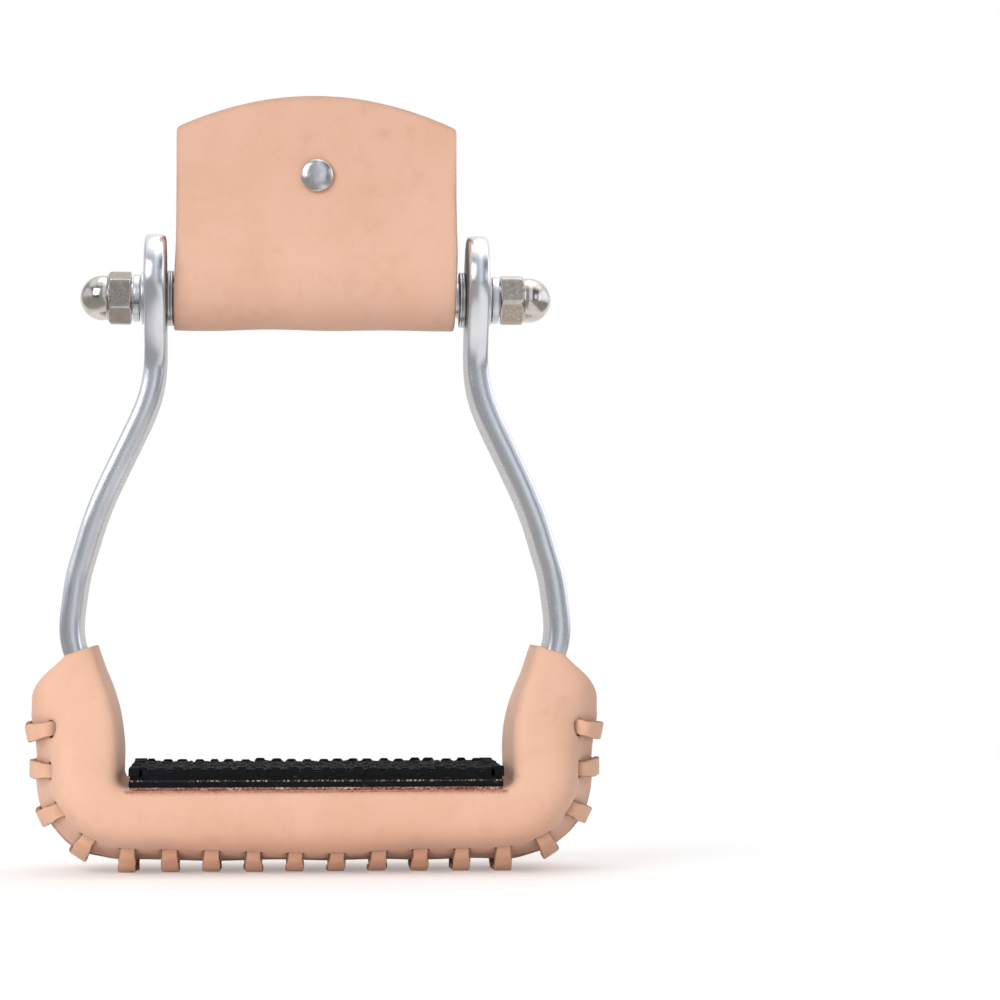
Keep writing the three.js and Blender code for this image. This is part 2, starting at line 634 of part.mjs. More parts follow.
// Bolt hardware: a through stud with a sleeve between the arms and a cap nut outside each
function hardware() {
  const group = new THREE.Group();
  group.position.set(0, boltY, BOLT_Z);
  const washerX = armOuter + SEAT + FLAT_WASHER_THICK / 2;
  const lockX = washerX + FLAT_WASHER_THICK / 2 + SEAT + LOCK_WASHER_THICK / 2;
  const nutX = lockX + LOCK_WASHER_THICK / 2 + SEAT;
  const innerX = armInner - SEAT - INNER_WASHER_THICK / 2;
  const sleeveLong = 2 * (innerX - INNER_WASHER_THICK / 2 - SEAT);
  group.add(piece('bolt_stud', solidOf(rod(STUD_RADIUS, 2 * (nutX + STUD_INTO_NUT))), zinc()));
  group.add(piece('spacer_sleeve', solidOf(ring(boltBore, sleeveRadius, sleeveLong)), zinc()));
  const ends = [['left', Math.PI, NUT_LEFT_TURN_SHARE], ['right', 0, -NUT_RIGHT_TURN_SHARE]];
  for (const [side, end, turnShare] of ends) {
    const stack = new THREE.Group();
    stack.rotation.z = end;
    const inner = solidOf(ring(boltBore, INNER_WASHER_RADIUS, INNER_WASHER_THICK));
    const flat = solidOf(ring(boltBore, FLAT_WASHER_RADIUS, FLAT_WASHER_THICK));
    const parts = [
      [piece(`inner_washer_${side}`, inner, zinc()), innerX],
      [piece(`flat_washer_${side}`, flat, zinc()), washerX],
      [piece(`lock_washer_${side}`, lockWasherSolid(), zinc()), lockX],
      [piece(`cap_nut_${side}`, nutSolid(turnShare), nickel()), nutX],
    ];
    for (const [mesh, x] of parts) {
      mesh.position.x = x;
      stack.add(mesh);
    }
    group.add(stack);
  }
  return group;
}

// A rivet half along Y: a low dome, with a post or a socket behind it
function rivetDome() {
  const profile = [[0, 0], [RIVET_CAP_RADIUS, 0], [RIVET_CAP_RADIUS, RIVET_CAP_RIM]];
  for (let k = 1; k <= DOME_STEPS; k += 1) {
    const angle = (k / DOME_STEPS) * (Math.PI / 2);
    profile.push([
      k < DOME_STEPS ? RIVET_CAP_RADIUS * Math.cos(angle) : 0,
      RIVET_CAP_RIM + (RIVET_CAP_HIGH - RIVET_CAP_RIM) * Math.sin(angle),
    ]);
  }
  const points = profile.map(([radius, y]) => new THREE.Vector2(radius, y));
  return solidOf(new THREE.LatheGeometry(points, ROUND_STEPS));
}

function rivetPost(radius, from, to) {
  const post = new THREE.CylinderGeometry(radius, radius, to - from, ROUND_STEPS);
  return solidOf(post.translate(0, (from + to) / 2, 0));
}

// Neck leather with the rivet that holds its two ends together
function neck() {
  const group = new THREE.Group();
  group.position.set(0, boltY, BOLT_Z);
  group.add(piece('neck_leather', neckSolid(), natural()));
  const seatY = NECK_SKIN + NECK_SLIT_HALF + SEAT;
  const postLong = 2 * seatY + RIVET_POST_SHORT;
  const front = rivetDome().add(rivetPost(RIVET_POST_RADIUS, -postLong, SEAT));
  const socket = rivetPost(RIVET_POST_RADIUS + SEAT, -OVERRUN, RIVET_POST_SHORT + SEAT);
  const cap = piece('rivet_front', front, nickel());
  cap.position.set(0, -seatY, rivetRise);
  cap.rotation.x = Math.PI;
  const burr = piece('rivet_back', rivetDome().subtract(socket), nickel());
  burr.position.set(0, seatY, rivetRise);
  group.add(cap, burr);
  return group;
}

// Rough top sheet: low ribs across a plain sheet of rubber
function ribbedSheet() {
  const steps = 4 * PAD_RIBS;
  const rings = [];
  for (let c = 0; c <= steps; c += 1) {
    const x = lerp(-padHalf, padHalf, c / steps);
    const top = PAD_RUBBER + (c % 4 > 1 ? PAD_RIB_HIGH : 0);
    rings.push([
      new THREE.Vector3(x, -padHalfDepth, 0), new THREE.Vector3(x, padHalfDepth, 0),
      new THREE.Vector3(x, padHalfDepth, top), new THREE.Vector3(x, -padHalfDepth, top),
    ]);
  }
  return loft(rings);
}

// Tread sheet: backing, woven ply and rough rubber, bonded face to face
function tread() {
  const group = new THREE.Group();
  group.position.z = treadTopZ + SEAT;
  const slab = (thick) => (
    new THREE.BoxGeometry(2 * padHalf, 2 * padHalfDepth, thick).translate(0, 0, thick / 2)
  );
  const backing = piece('tread_backing', solidOf(slab(PAD_BACKING)), rubber());
  const ply = piece('tread_ply', solidOf(slab(PAD_PLY)), weave());
  ply.position.z = PAD_BACKING;
  const top = piece('tread_rubber', solidOf(ribbedSheet()), rubber());
  top.position.z = PAD_BACKING + PAD_PLY;
  group.add(backing, ply, top);
  return group;
}

const stirrup = new THREE.Group();
stirrup.add(
  piece('stirrup_frame', frameSolid(), aluminium()),
  piece('foot_cover', coverSolid(), natural()),
  piece('foot_lace', laceSolid(), natural()),
  tread(),
  hardware(),
  neck(),
);

export default stirrup;
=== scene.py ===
"""Looks of the barrel racer stirrup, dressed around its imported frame.

Sizes in the classes are millimetres; meshes are metres, +Z up, with the front at -Y.
"""

import logging
import math
from dataclasses import dataclass, field
from enum import Enum
from functools import cached_property
from typing import Any, Optional, Sequence, Union

import bmesh
import bpy
import numpy as np
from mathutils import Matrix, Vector


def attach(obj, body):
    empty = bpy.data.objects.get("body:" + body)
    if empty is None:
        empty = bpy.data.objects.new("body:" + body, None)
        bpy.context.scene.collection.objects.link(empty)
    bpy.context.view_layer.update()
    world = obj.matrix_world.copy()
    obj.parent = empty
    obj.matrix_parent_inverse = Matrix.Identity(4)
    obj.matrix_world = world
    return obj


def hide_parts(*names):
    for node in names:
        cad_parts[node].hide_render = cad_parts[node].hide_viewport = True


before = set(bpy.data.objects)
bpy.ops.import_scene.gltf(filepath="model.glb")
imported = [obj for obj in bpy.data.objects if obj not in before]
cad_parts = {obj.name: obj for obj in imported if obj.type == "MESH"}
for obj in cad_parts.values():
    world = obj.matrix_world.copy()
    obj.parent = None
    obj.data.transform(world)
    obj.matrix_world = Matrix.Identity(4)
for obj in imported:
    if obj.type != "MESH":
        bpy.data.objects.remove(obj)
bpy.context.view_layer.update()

log = logging.getLogger("stirrup")

MM = 0.001
# A point of the bolt's axis, the radius of the holes round the bolt, and the rivet's height over it
BOLT_AXIS = np.array([0.0, -3.5, 172.0])
BOLT_BORE = 5.06
RIVET_RISE = 36.96
# Shares of a rounded edge where its rows of points lie, and a distance that means out of reach
EDGE_STEPS = np.array([0, 0.1, 0.3, 0.6, 1])
FAR = 99.0
Colour = tuple[float, float, float]
Value = Union["Wire", float]


class Body(Enum):
    """The moving bodies of the stirrup."""

    STIRRUP = "stirrup"
    NECK = "neck"


class Side(Enum):
    """Left and right of the stirrup, as the sign of X."""

    LEFT = -1
    RIGHT = 1

    @property
    def word(self) -> str:
        """The side as it stands in node names."""
        return self.name.lower()


def srgb(red: int, green: int, blue: int) -> Colour:
    """A colour of 0 to 255 screen values as linear values.

    Args:
        red: Red screen value.
        green: Green screen value.
        blue: Blue screen value.

    Returns:
        The linear red, green and blue values.
    """
    shares = (value / 255 for value in (red, green, blue))
    return tuple(v / 12.92 if v <= 0.04045 else ((v + 0.055) / 1.055) ** 2.4 for v in shares)


# Lines, grids and meshes


def through_points(points: np.ndarray, steps: int) -> np.ndarray:
    """A smooth centripetal curve through points.

    Args:
        points: Rows of two or three coordinates.
        steps: Samples between two neighbouring points.

    Returns:
        Samples of the curve, first and last point included.
    """
    pts = np.asarray(points, dtype=float)
    padded = np.vstack([2 * pts[0] - pts[1], pts, 2 * pts[-1] - pts[-2]])
    out = []
    for k in range(len(pts) - 1):
        p0, p1, p2, p3 = padded[k:k + 4]
        d0, d1, d2 = (
            max(float(np.dot(b - a, b - a)), 1e-12) ** 0.25 for a, b in ((p0, p1), (p1, p2), (p2, p3))
        )
        t1 = ((p1 - p0) / d0 - (p2 - p0) / (d0 + d1) + (p2 - p1) / d1) * d1
        t2 = ((p2 - p1) / d1 - (p3 - p1) / (d1 + d2) + (p3 - p2) / d2) * d1
        u = (np.arange(steps) / steps)[:, None]
        c2 = -3 * p1 + 3 * p2 - 2 * t1 - t2
        c3 = 2 * p1 - 2 * p2 + t1 + t2
        out.append(p1 + t1 * u + c2 * u ** 2 + c3 * u ** 3)
    out.append(pts[-1][None, :])
    return np.vstack(out)


class Track:
    """A dense line of points that is read by the distance along it."""

    def __init__(self, points: np.ndarray) -> None:
        """Measures the line.

        Args:
            points: Rows of coordinates, close together.
        """
        self.points = points
        gaps = np.linalg.norm(np.diff(points, axis=0), axis=1)
        self.gone = np.concatenate([[0.0], np.cumsum(gaps)])
        self.long = float(self.gone[-1])
        ways = np.gradient(points, self.gone, axis=0)
        self.ways = ways / np.linalg.norm(ways, axis=1, keepdims=True)

    def _read(self, table: np.ndarray, distance: np.ndarray) -> np.ndarray:
        """Columns of a table at distances along the line."""
        return np.stack([np.interp(distance, self.gone, column) for column in table.T], axis=-1)

    def at(self, distance: np.ndarray) -> np.ndarray:
        """Points at distances along the line."""
        return self._read(self.points, distance)

    def way(self, distance: np.ndarray) -> np.ndarray:
        """Directions at distances along the line."""
        return self._read(self.ways, distance)


def spaced(long: float, step: float, ends: float) -> np.ndarray:
    """Distances from 0 to a length, with close rows where the cut edges round off.

    Args:
        long: The whole length.
        step: Usual spacing.
        ends: Radius of the rounding at each end.

    Returns:
        The distances in rising order.
    """
    near = ends * EDGE_STEPS
    count = max(int(round((long - 2 * ends) / step)), 2)
    middle = np.linspace(ends, long - ends, count + 1)[1:-1]
    return np.concatenate([near, middle, long - near[::-1]])


def smooth_step(low: float, high: float, value: np.ndarray) -> np.ndarray:
    """A soft step from 0 below low to 1 above high."""
    share = np.clip((value - low) / (high - low), 0, 1)
    return share * share * (3 - 2 * share)


def softened(values: np.ndarray, span: int) -> np.ndarray:
    """Values averaged with their neighbours under a bell-shaped window of odd span."""
    weights = np.hanning(span)
    return np.convolve(np.pad(values, span // 2, mode="edge"), weights / weights.sum(), mode="valid")


def ripple(points: np.ndarray, wave: float, seed: int, terms: int = 7) -> np.ndarray:
    """Soft random waves in space.

    Args:
        points: Array whose last axis is X, Y and Z.
        wave: Usual wavelength in the same units.
        seed: Fixed seed.
        terms: Count of waves that are added up.

    Returns:
        Heights of about -1 to 1.
    """
    draw = np.random.default_rng(seed)
    ways = draw.normal(size=(terms, 3))
    ways /= np.linalg.norm(ways, axis=1, keepdims=True)
    ways *= (2 * math.pi / wave) * draw.uniform(0.6, 1.5, size=(terms, 1))
    phases = draw.uniform(0, 2 * math.pi, size=terms)
    return np.sin(points @ ways.T + phases).sum(axis=-1) / math.sqrt(terms * 2)


def add_object(name: str, data: bpy.types.ID) -> bpy.types.Object:
    """An object in the scene for a mesh, a camera or a lamp.

    Args:
        name: Name of the object.
        data: What it shows.

    Returns:
        The linked object.
    """
    made = bpy.data.objects.new(name, data)
    bpy.context.scene.collection.objects.link(made)
    return made


def dress(
    piece: bpy.types.Object, material: bpy.types.Material, body: Body, node: Optional[str] = None
) -> None:
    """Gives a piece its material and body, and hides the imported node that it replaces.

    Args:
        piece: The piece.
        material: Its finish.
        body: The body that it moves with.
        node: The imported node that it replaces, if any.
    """
    piece.data.materials.clear()
    piece.data.materials.append(material)
    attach(piece, body.value)
    if node:
        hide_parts(node)


def new_piece(
    name: str,
    points: np.ndarray,
    faces: Sequence[Sequence[int]],
    face_marks: Optional[dict[str, np.ndarray]] = None,
    point_marks: Optional[dict[str, np.ndarray]] = None,
    sharp: float = 50,
) -> bpy.types.Object:
    """A piece of the scene from points in millimetres.

    Args:
        name: Name of the object.
        points: Rows of X, Y and Z.
        faces: Corner numbers of each face.
        face_marks: Values for each face, by attribute name.
        point_marks: Values for each point, by attribute name.
        sharp: Angle in degrees past which an edge is shaded sharp.

    Returns:
        The object, linked, smooth and facing outwards.
    """
    used = np.unique(np.fromiter((k for face in faces for k in face), dtype=int))
    renumber = np.full(len(points), -1)
    renumber[used] = np.arange(len(used))
    mesh = bpy.data.meshes.new(name)
    mesh.from_pydata((points[used] * MM).tolist(), [], [[int(renumber[k]) for k in face] for face in faces])
    for domain, marks in (("FACE", face_marks), ("POINT", point_marks)):
        for label, values in (marks or {}).items():
            kept = np.asarray(values, dtype=np.float32)
            kept = kept[used] if domain == "POINT" else kept
            mesh.attributes.new(label, "FLOAT", domain).data.foreach_set("value", kept)
    tidy = bmesh.new()
    tidy.from_mesh(mesh)
    bmesh.ops.remove_doubles(tidy, verts=tidy.verts, dist=2e-6)
    bmesh.ops.recalc_face_normals(tidy, faces=tidy.faces)
    tidy.to_mesh(mesh)
    tidy.free()
    mesh.shade_smooth()
    mesh.set_sharp_from_angle(angle=math.radians(sharp))
    return add_object(name, mesh)


def band_faces(rings: int, sides: int, closed: bool = True) -> list[tuple[int, int, int, int]]:
    """Faces between equal rings of points.

    Args:
        rings: Count of rings.
        sides: Points in a ring.
        closed: Whether each ring closes on itself.

    Returns:
        Four point numbers for each face.
    """
    across = sides if closed else sides - 1
    return [
        (r * sides + k, r * sides + (k + 1) % sides, (r + 1) * sides + (k + 1) % sides, (r + 1) * sides + k)
        for r in range(rings - 1)
        for k in range(across)
    ]


def tube_faces(rings: int, sides: int) -> list[tuple[int, ...]]:
    """Faces between equal closed rings, with one more face over each end.

    Args:
        rings: Count of rings.
        sides: Points in a ring.

    Returns:
        Point numbers of each face, the two ends last.
    """
    last = (rings - 1) * sides
    return [*band_faces(rings, sides), tuple(range(sides))[::-1], tuple(range(last, last + sides))]


def turned(profile: np.ndarray, sides: int) -> tuple[np.ndarray, list]:
    """A body turned about the X axis.

    Args:
        profile: Rows of radius and X. Where it starts and ends on the axis the body is closed.
        sides: Count of steps round the axis.

    Returns:
        Points and faces.
    """
    angles = 2 * math.pi * np.arange(sides) / sides
    radius, along = profile[:, :1], profile[:, 1:]
    grid = np.stack([along + 0 * angles, -radius * np.cos(angles), radius * np.sin(angles)], axis=-1)
    return grid.reshape(-1, 3), band_faces(len(profile), sides)


def oblong(half_x: float, half_y: float) -> list[tuple[float, float]]:
    """Corners of a rectangle round the middle, in turn."""
    return [(-half_x, -half_y), (half_x, -half_y), (half_x, half_y), (-half_x, half_y)]


def rounded_loop(corners: Sequence[tuple[float, float]], radius: float, steps: int = 4) -> np.ndarray:
    """A closed profile with its corners rounded.

    Args:
        corners: Corner points in order.
        radius: Radius of the rounding.
        steps: Steps in each corner.

    Returns:
        Points of the loop, the first one repeated at the end.
    """
    pts = np.asarray(corners, dtype=float)
    out = []
    for k, corner in enumerate(pts):
        before, after = pts[k - 1] - corner, pts[(k + 1) % len(pts)] - corner
        reach = min(radius, np.linalg.norm(before) / 2, np.linalg.norm(after) / 2)
        a = corner + before / np.linalg.norm(before) * reach
        b = corner + after / np.linalg.norm(after) * reach
        for t in np.linspace(0, 1, steps + 1):
            out.append((1 - t) ** 2 * a + 2 * t * (1 - t) * corner + t ** 2 * b)
    out.append(out[0])
    return np.array(out)


# Shader nodes as expressions


class Wire:
    """One output of a material's nodes, with Python's own signs for its sums."""

    def __init__(self, desk: "Desk", socket: bpy.types.NodeSocket) -> None:
        """Wraps a socket.

        Args:
            desk: The desk whose nodes it belongs to.
            socket: The output socket.
        """
        self.desk = desk
        self.socket = socket

    def __add__(self, other: Value) -> "Wire":
        """Sum of two values."""
        return self.desk.math("ADD", self, other)

    __radd__ = __add__

    def __sub__(self, other: Value) -> "Wire":
        """Difference of two values."""
        return self.desk.math("SUBTRACT", self, other)

    def __rsub__(self, other: Value) -> "Wire":
        """Difference from a number."""
        return self.desk.math("SUBTRACT", other, self)

    def __mul__(self, other: Value) -> "Wire":
        """Product of two values."""
        return self.desk.math("MULTIPLY", self, other)

    __rmul__ = __mul__

    def __neg__(self) -> "Wire":
        """The value with its sign changed."""
        return self * -1.0

    def __abs__(self) -> "Wire":
        """Size of a value without its sign."""
        return self.top(-self)

    def step(self, low: float, high: float) -> "Wire":
        """A soft step from 0 to 1.

        Args:
            low: Value below which it is 0.
            high: Value above which it is 1.

        Returns:
            The step.
        """
        links = {"Value": self, "From Min": low, "From Max": high}
        settings = {"interpolation_type": "SMOOTHSTEP"}
        return self.desk.node("ShaderNodeMapRange", settings, links).wire("Result")

    def top(self, other: Value) -> "Wire":
        """The larger of two values."""
        return self.desk.math("MAXIMUM", self, other)


class Knot:
    """A node that has been made, with its outputs by name."""

    def __init__(self, desk: "Desk", node: bpy.types.Node) -> None:
        """Keeps the node and its desk."""
        self.desk = desk
        self.node = node

    def wire(self, name: str) -> Wire:
        """Finds an output.

        Args:
            name: Its name or identifier.

        Returns:
            The output.
        """
        for socket in self.node.outputs:
            if name in (socket.identifier, socket.name) and socket.enabled:
                return Wire(self.desk, socket)
        raise KeyError(name)


class Desk:
    """Where the nodes of one material, or of the world, are made and joined."""

    def __init__(self, tree: bpy.types.NodeTree) -> None:
        """Clears a node tree for its new nodes."""
        self.tree = tree
        tree.nodes.clear()

    def node(
        self, kind: str, settings: Optional[dict[str, Any]] = None, links: Optional[dict[str, Any]] = None
    ) -> Knot:
        """Makes one node.

        Args:
            kind: Node type.
            settings: Properties, which are set first.
            links: Values or wires for its inputs, by name or identifier.

        Returns:
            The node with its outputs.
        """
        node = self.tree.nodes.new(kind)
        for name, value in (settings or {}).items():
            setattr(node, name, value)
        for name, value in (links or {}).items():
            socket = next(s for s in node.inputs if name in (s.identifier, s.name) and s.enabled)
            if isinstance(value, Wire):
                self.tree.links.new(value.socket, socket)
            elif isinstance(value, tuple) and socket.type == "RGBA":
                socket.default_value = (*value, 1)
            else:
                socket.default_value = value
        return Knot(self, node)

    def math(self, operation: str, first: Value, second: Value) -> Wire:
        """One sum of two numbers."""
        links = {"Value": first, "Value_001": second}
        return self.node("ShaderNodeMath", {"operation": operation}, links).wire("Value")

    def mix(self, share: Value, first: Any, second: Any) -> Wire:
        """A colour between two colours.

        Args:
            share: 0 gives the first colour and 1 the second.
            first: Colour or wire.
            second: Colour or wire.

        Returns:
            The mixed colour.
        """
        links = {"Factor_Float": share, "A_Color": first, "B_Color": second}
        return self.node("ShaderNodeMix", {"data_type": "RGBA"}, links).wire("Result_Color")

    def place(self, stretch: tuple[float, float, float] = (1, 1, 1)) -> Wire:
        """Object coordinates in millimetres, each axis stretched.

        Args:
            stretch: Factor for each axis.

        Returns:
            The stretched coordinates.
        """
        coords = self.node("ShaderNodeTexCoord").wire("Object")
        links = {"Vector": coords, "Vector_001": tuple(value / MM for value in stretch)}
        return self.node("ShaderNodeVectorMath", {"operation": "MULTIPLY"}, links).wire("Vector")

    def noise(self, where: Wire, scale: float, detail: float, rough: float, warp: float = 0) -> Wire:
        """Random cloud texture.

        Args:
            where: Coordinates.
            scale: Waves in a unit of the coordinates.
            detail: Count of finer layers.
            rough: Weight of the finer layers.
            warp: How far the pattern is twisted.

        Returns:
            Values of 0 to 1.
        """
        links = {"Vector": where, "Scale": scale, "Detail": detail, "Roughness": rough, "Distortion": warp}
        return self.node("ShaderNodeTexNoise", {}, links).wire("Fac")

    def cells(self, where: Wire, scale: float) -> Wire:
        """Distances from the middles of random cells, of which a unit of the coordinates has scale."""
        return self.node("ShaderNodeTexVoronoi", {}, {"Vector": where, "Scale": scale}).wire("Distance")

    def mark(self, name: str) -> Wire:
        """A value that the mesh carries."""
        return self.node("ShaderNodeAttribute", {"attribute_name": name}).wire("Fac")

    def bump(self, height: Wire, distance: float, strength: float = 1, below: Optional[Wire] = None) -> Wire:
        """A surface normal that follows a height.

        Args:
            height: Height of 0 to 1.
            distance: Real height in millimetres.
            strength: How much of it shows.
            below: The normal under it.

        Returns:
            The normal.
        """
        links: dict[str, Any] = {"Height": height, "Distance": distance * MM, "Strength": strength}
        if below is not None:
            links["Normal"] = below
        return self.node("ShaderNodeBump", {}, links).wire("Normal")


class Paint:
    """One material with a Principled shader whose sockets are set or linked."""

    def __init__(self, name: str) -> None:
        """Makes the material.

        Args:
            name: Name of the material.
        """
        self.material = bpy.data.materials.new(name)
        self.material.use_nodes = True
        self.desk = Desk(self.material.node_tree)
        shader = self.desk.node("ShaderNodeBsdfPrincipled")
        self.shader = shader.node
        self.desk.node("ShaderNodeOutputMaterial", {}, {"Surface": shader.wire("BSDF")})

    def set(self, **values: Any) -> None:
        """Sets or links the shader's sockets.

        Args:
            values: Socket names, with underscores for spaces, and their values.
        """
        for name, value in values.items():
            socket = self.shader.inputs[name.replace("_", " ")]
            if isinstance(value, Wire):
                self.desk.tree.links.new(value.socket, socket)
            elif isinstance(value, tuple):
                socket.default_value = (*value, 1)
            else:
                socket.default_value = value


# Finishes


@dataclass(frozen=True)
class NaturalLeather:
    """Vegetable-tanned leather with its grain side, fibrous cut edges, brown flesh side and painted shade on
    the walls of its lace holes.
    """

    name: str = "natural_leather"
    pale: Colour = srgb(239, 191, 165)
    warm: Colour = srgb(230, 179, 150)
    scuff: Colour = srgb(215, 158, 130)
    edge_pale: Colour = srgb(240, 200, 174)
    edge_brown: Colour = srgb(192, 126, 90)
    # Painted shade for the inside walls of the lace holes
    hollow: Colour = srgb(78, 40, 26)
    stain: Colour = srgb(158, 76, 46)
    fibre: float = 1.0
    stain_x: float = 55.2
    stain_y: float = 28.5

    def material(self) -> bpy.types.Material:
        """Builds the leather.

        Returns:
            The material.
        """
        paint = Paint(self.name)
        desk = paint.desk
        space = desk.place()
        cloud = desk.noise(space, 0.045, 3, 0.55)
        blotch = desk.noise(space, 0.16, 4, 0.6)
        mottle = desk.noise(space, 0.9, 3, 0.6)
        pores = desk.cells(space, 2.1)
        fine = desk.noise(space, 3.6, 3, 0.65)
        fibres = desk.noise(desk.place((1.4, 1.4, 1.4)), 1.5, 5, 0.75, 1.2)
        creases = desk.noise(desk.place((0.5, 1.6, 0.5)), 0.55, 4, 0.6, 2.5)
        cut = desk.mark("cut")
        flesh = desk.mark("flesh")
        edge = desk.mark("edge")
        deep = desk.mark("deep")
        spot = desk.node("ShaderNodeSeparateXYZ", {}, {"Vector": space})
        off_x, off_y = abs(spot.wire("X")), abs(spot.wire("Y"))
        gap = abs(off_y - self.stain_y)
        seam = (1 - gap.step(0.0, 0.95)) * (1 - off_x.step(self.stain_x, self.stain_x + 1.6))
        stain = seam * spot.wire("Z").step(21, 23) * (1 - spot.wire("Z").step(28, 29))
        crease = desk.mark("crease")

        grain = desk.mix(cloud.step(0.34, 0.68) * 0.55, self.pale, self.warm)
        grain = desk.mix(blotch.step(0.52, 0.78) * 0.3, grain, self.scuff)
        grain = desk.mix(mottle.step(0.56, 0.8) * 0.16, grain, self.scuff)
        grain = desk.mix((1 - pores.step(0.02, 0.2)) * 0.16, grain, self.scuff)
        folds = creases.step(0.5, 0.56) * (1 - creases.step(0.56, 0.62)) * crease
        grain = desk.mix(folds * 0.55, grain, self.edge_pale)
        rim = edge * fibres.step(0.3, 0.62)
        grain = desk.mix(rim * 0.75, grain, self.edge_pale)
        raw = desk.mix(fibres.step(0.34, 0.62), self.edge_brown, self.edge_pale)
        inside = desk.mix(fibres.step(0.4, 0.75), self.edge_brown, self.scuff)
        whole = desk.mix(flesh, desk.mix(cut, grain, raw), inside)
        patchy = 0.35 + 0.35 * fine.step(0.3, 0.6) + 0.3 * mottle.step(0.4, 0.6)
        whole = desk.mix(stain * patchy, whole, self.stain)
        # Painted shade: the walls inside the lace holes are darkened where the deep mark is set.
        whole = desk.mix(deep, whole, self.hollow)

        fuzz = cut.top(flesh)
        height = (1 - pores.step(0.0, 0.34)) * -0.35 + fine * 0.4 + mottle * 0.5 - folds * 1.1
        skin = desk.bump(height * (1 - fuzz), 0.085, 0.55)
        nap = desk.bump(fibres * fuzz.top(rim * 0.6), 0.55 * self.fibre, 0.9, skin)
        rough = 0.56 + 0.12 * mottle - 0.05 * blotch + 0.3 * fuzz
        paint.set(Base_Color=whole, Roughness=rough, Normal=nap, Specular_IOR_Level=0.38)
        paint.set(Sheen_Weight=0.06, Sheen_Roughness=0.5)
        return paint.material


@dataclass(frozen=True)
class PolishedBar:
    """Aluminium bar, buffed outside and on its edges and left brushed on its inner face."""

    name: str = "frame_aluminium"
    bright: Colour = (0.79, 0.8, 0.83)
    grey: Colour = (0.62, 0.63, 0.655)
    brushed: Colour = (0.4, 0.39, 0.39)

    def material(self) -> bpy.types.Material:
        """Builds the metal.

        Returns:
            The material.
        """
        paint = Paint(self.name)
        desk = paint.desk
        space = desk.place()
        inner = desk.mark("inner")
        cloud = desk.noise(space, 0.07, 3, 0.5)
        lines = desk.noise(desk.place((1, 0.02, 1)), 4.2, 4, 0.7)
        long_lines = desk.noise(desk.place((1, 0.012, 1)), 1.3, 2, 0.6)
        buff = desk.noise(desk.place((0.5, 1, 0.12)), 1.2, 3, 0.6)
        pits = desk.cells(space, 0.9)
        scratch = desk.noise(desk.place((0.35, 0.35, 0.035)), 1.7, 1, 0.5, 3.5)
        mark = scratch.step(0.497, 0.5) * (1 - scratch.step(0.5, 0.503)) * cloud.step(0.48, 0.6)

        shine = desk.mix(cloud.step(0.3, 0.75) * 0.45, self.bright, self.grey)
        rubbed = desk.mix(lines.step(0.25, 0.8) * 0.5 + long_lines * 0.25, self.brushed, self.bright)
        colour = desk.mix(inner, shine, rubbed)
        pit = (1 - pits.step(0.03, 0.1)) * cloud.step(0.45, 0.62)
        colour = desk.mix(pit * 0.25 + mark * 0.2, colour, self.grey)
        wavy = desk.bump(desk.noise(space, 0.06, 1, 0.4), 0.5, 0.55 * (1 - inner))
        buffed = desk.bump(buff, 0.012, 0.6, wavy)
        normal = desk.bump(lines * inner + long_lines * inner * 0.8 - pit * 0.6 - mark, 0.03, 0.75, buffed)
        rough = 0.17 + 0.12 * cloud + 0.19 * inner + 0.05 * buff + 0.12 * mark
        paint.set(Base_Color=colour, Metallic=1.0, Roughness=rough, Normal=normal)
        return paint.material


@dataclass(frozen=True)
class PlatedMetal:
    """Plated steel: a bright skin with fine pits, and marked places whose darker rubbed colour is partly wear
    and partly painted dark reflection.
    """

    name: str
    bright: Colour
    dull: Colour
    # Colour of the marked places: partly wear, partly painted dark reflection
    rubbed: Colour
    rough: float
    ripple_high: float = 0.02
    lines: float = 0.0

    def material(self) -> bpy.types.Material:
        """Builds the plating.

        Returns:
            The material.
        """
        paint = Paint(self.name)
        desk = paint.desk
        space = desk.place()
        cloud = desk.noise(space, 0.35, 4, 0.6)
        grit = desk.noise(space, 2.4, 4, 0.7)
        pits = desk.cells(space, 1.8)
        turning = desk.noise(desk.place((1, 0.05, 0.05)), 5, 2, 0.6)
        worn = desk.mark("worn")
        pit = 1 - pits.step(0.03, 0.14)
        colour = desk.mix(cloud.step(0.35, 0.7) * 0.5, self.bright, self.dull)
        colour = desk.mix(pit * 0.4, colour, self.dull)
        grain = desk.noise(space, 1.5, 4, 0.75)
        # Where the mesh marks it, the rubbed colour is partly real wear and partly painted dark reflection.
        colour = desk.mix(worn * (0.45 + 0.55 * grain.step(0.35, 0.65)), colour, self.rubbed)
        soft = desk.bump(desk.noise(space, 0.3, 1, 0.5), self.ripple_high * 4, 0.5)
        height = grit * (0.4 + worn) + grain * worn * 1.8 - pit * 0.8 + turning * self.lines
        normal = desk.bump(height, self.ripple_high, 0.7, soft)
        rough = self.rough + 0.1 * cloud + 0.06 * grit + 0.12 * worn
        paint.set(Base_Color=colour, Metallic=1.0, Roughness=rough, Normal=normal)
        return paint.material


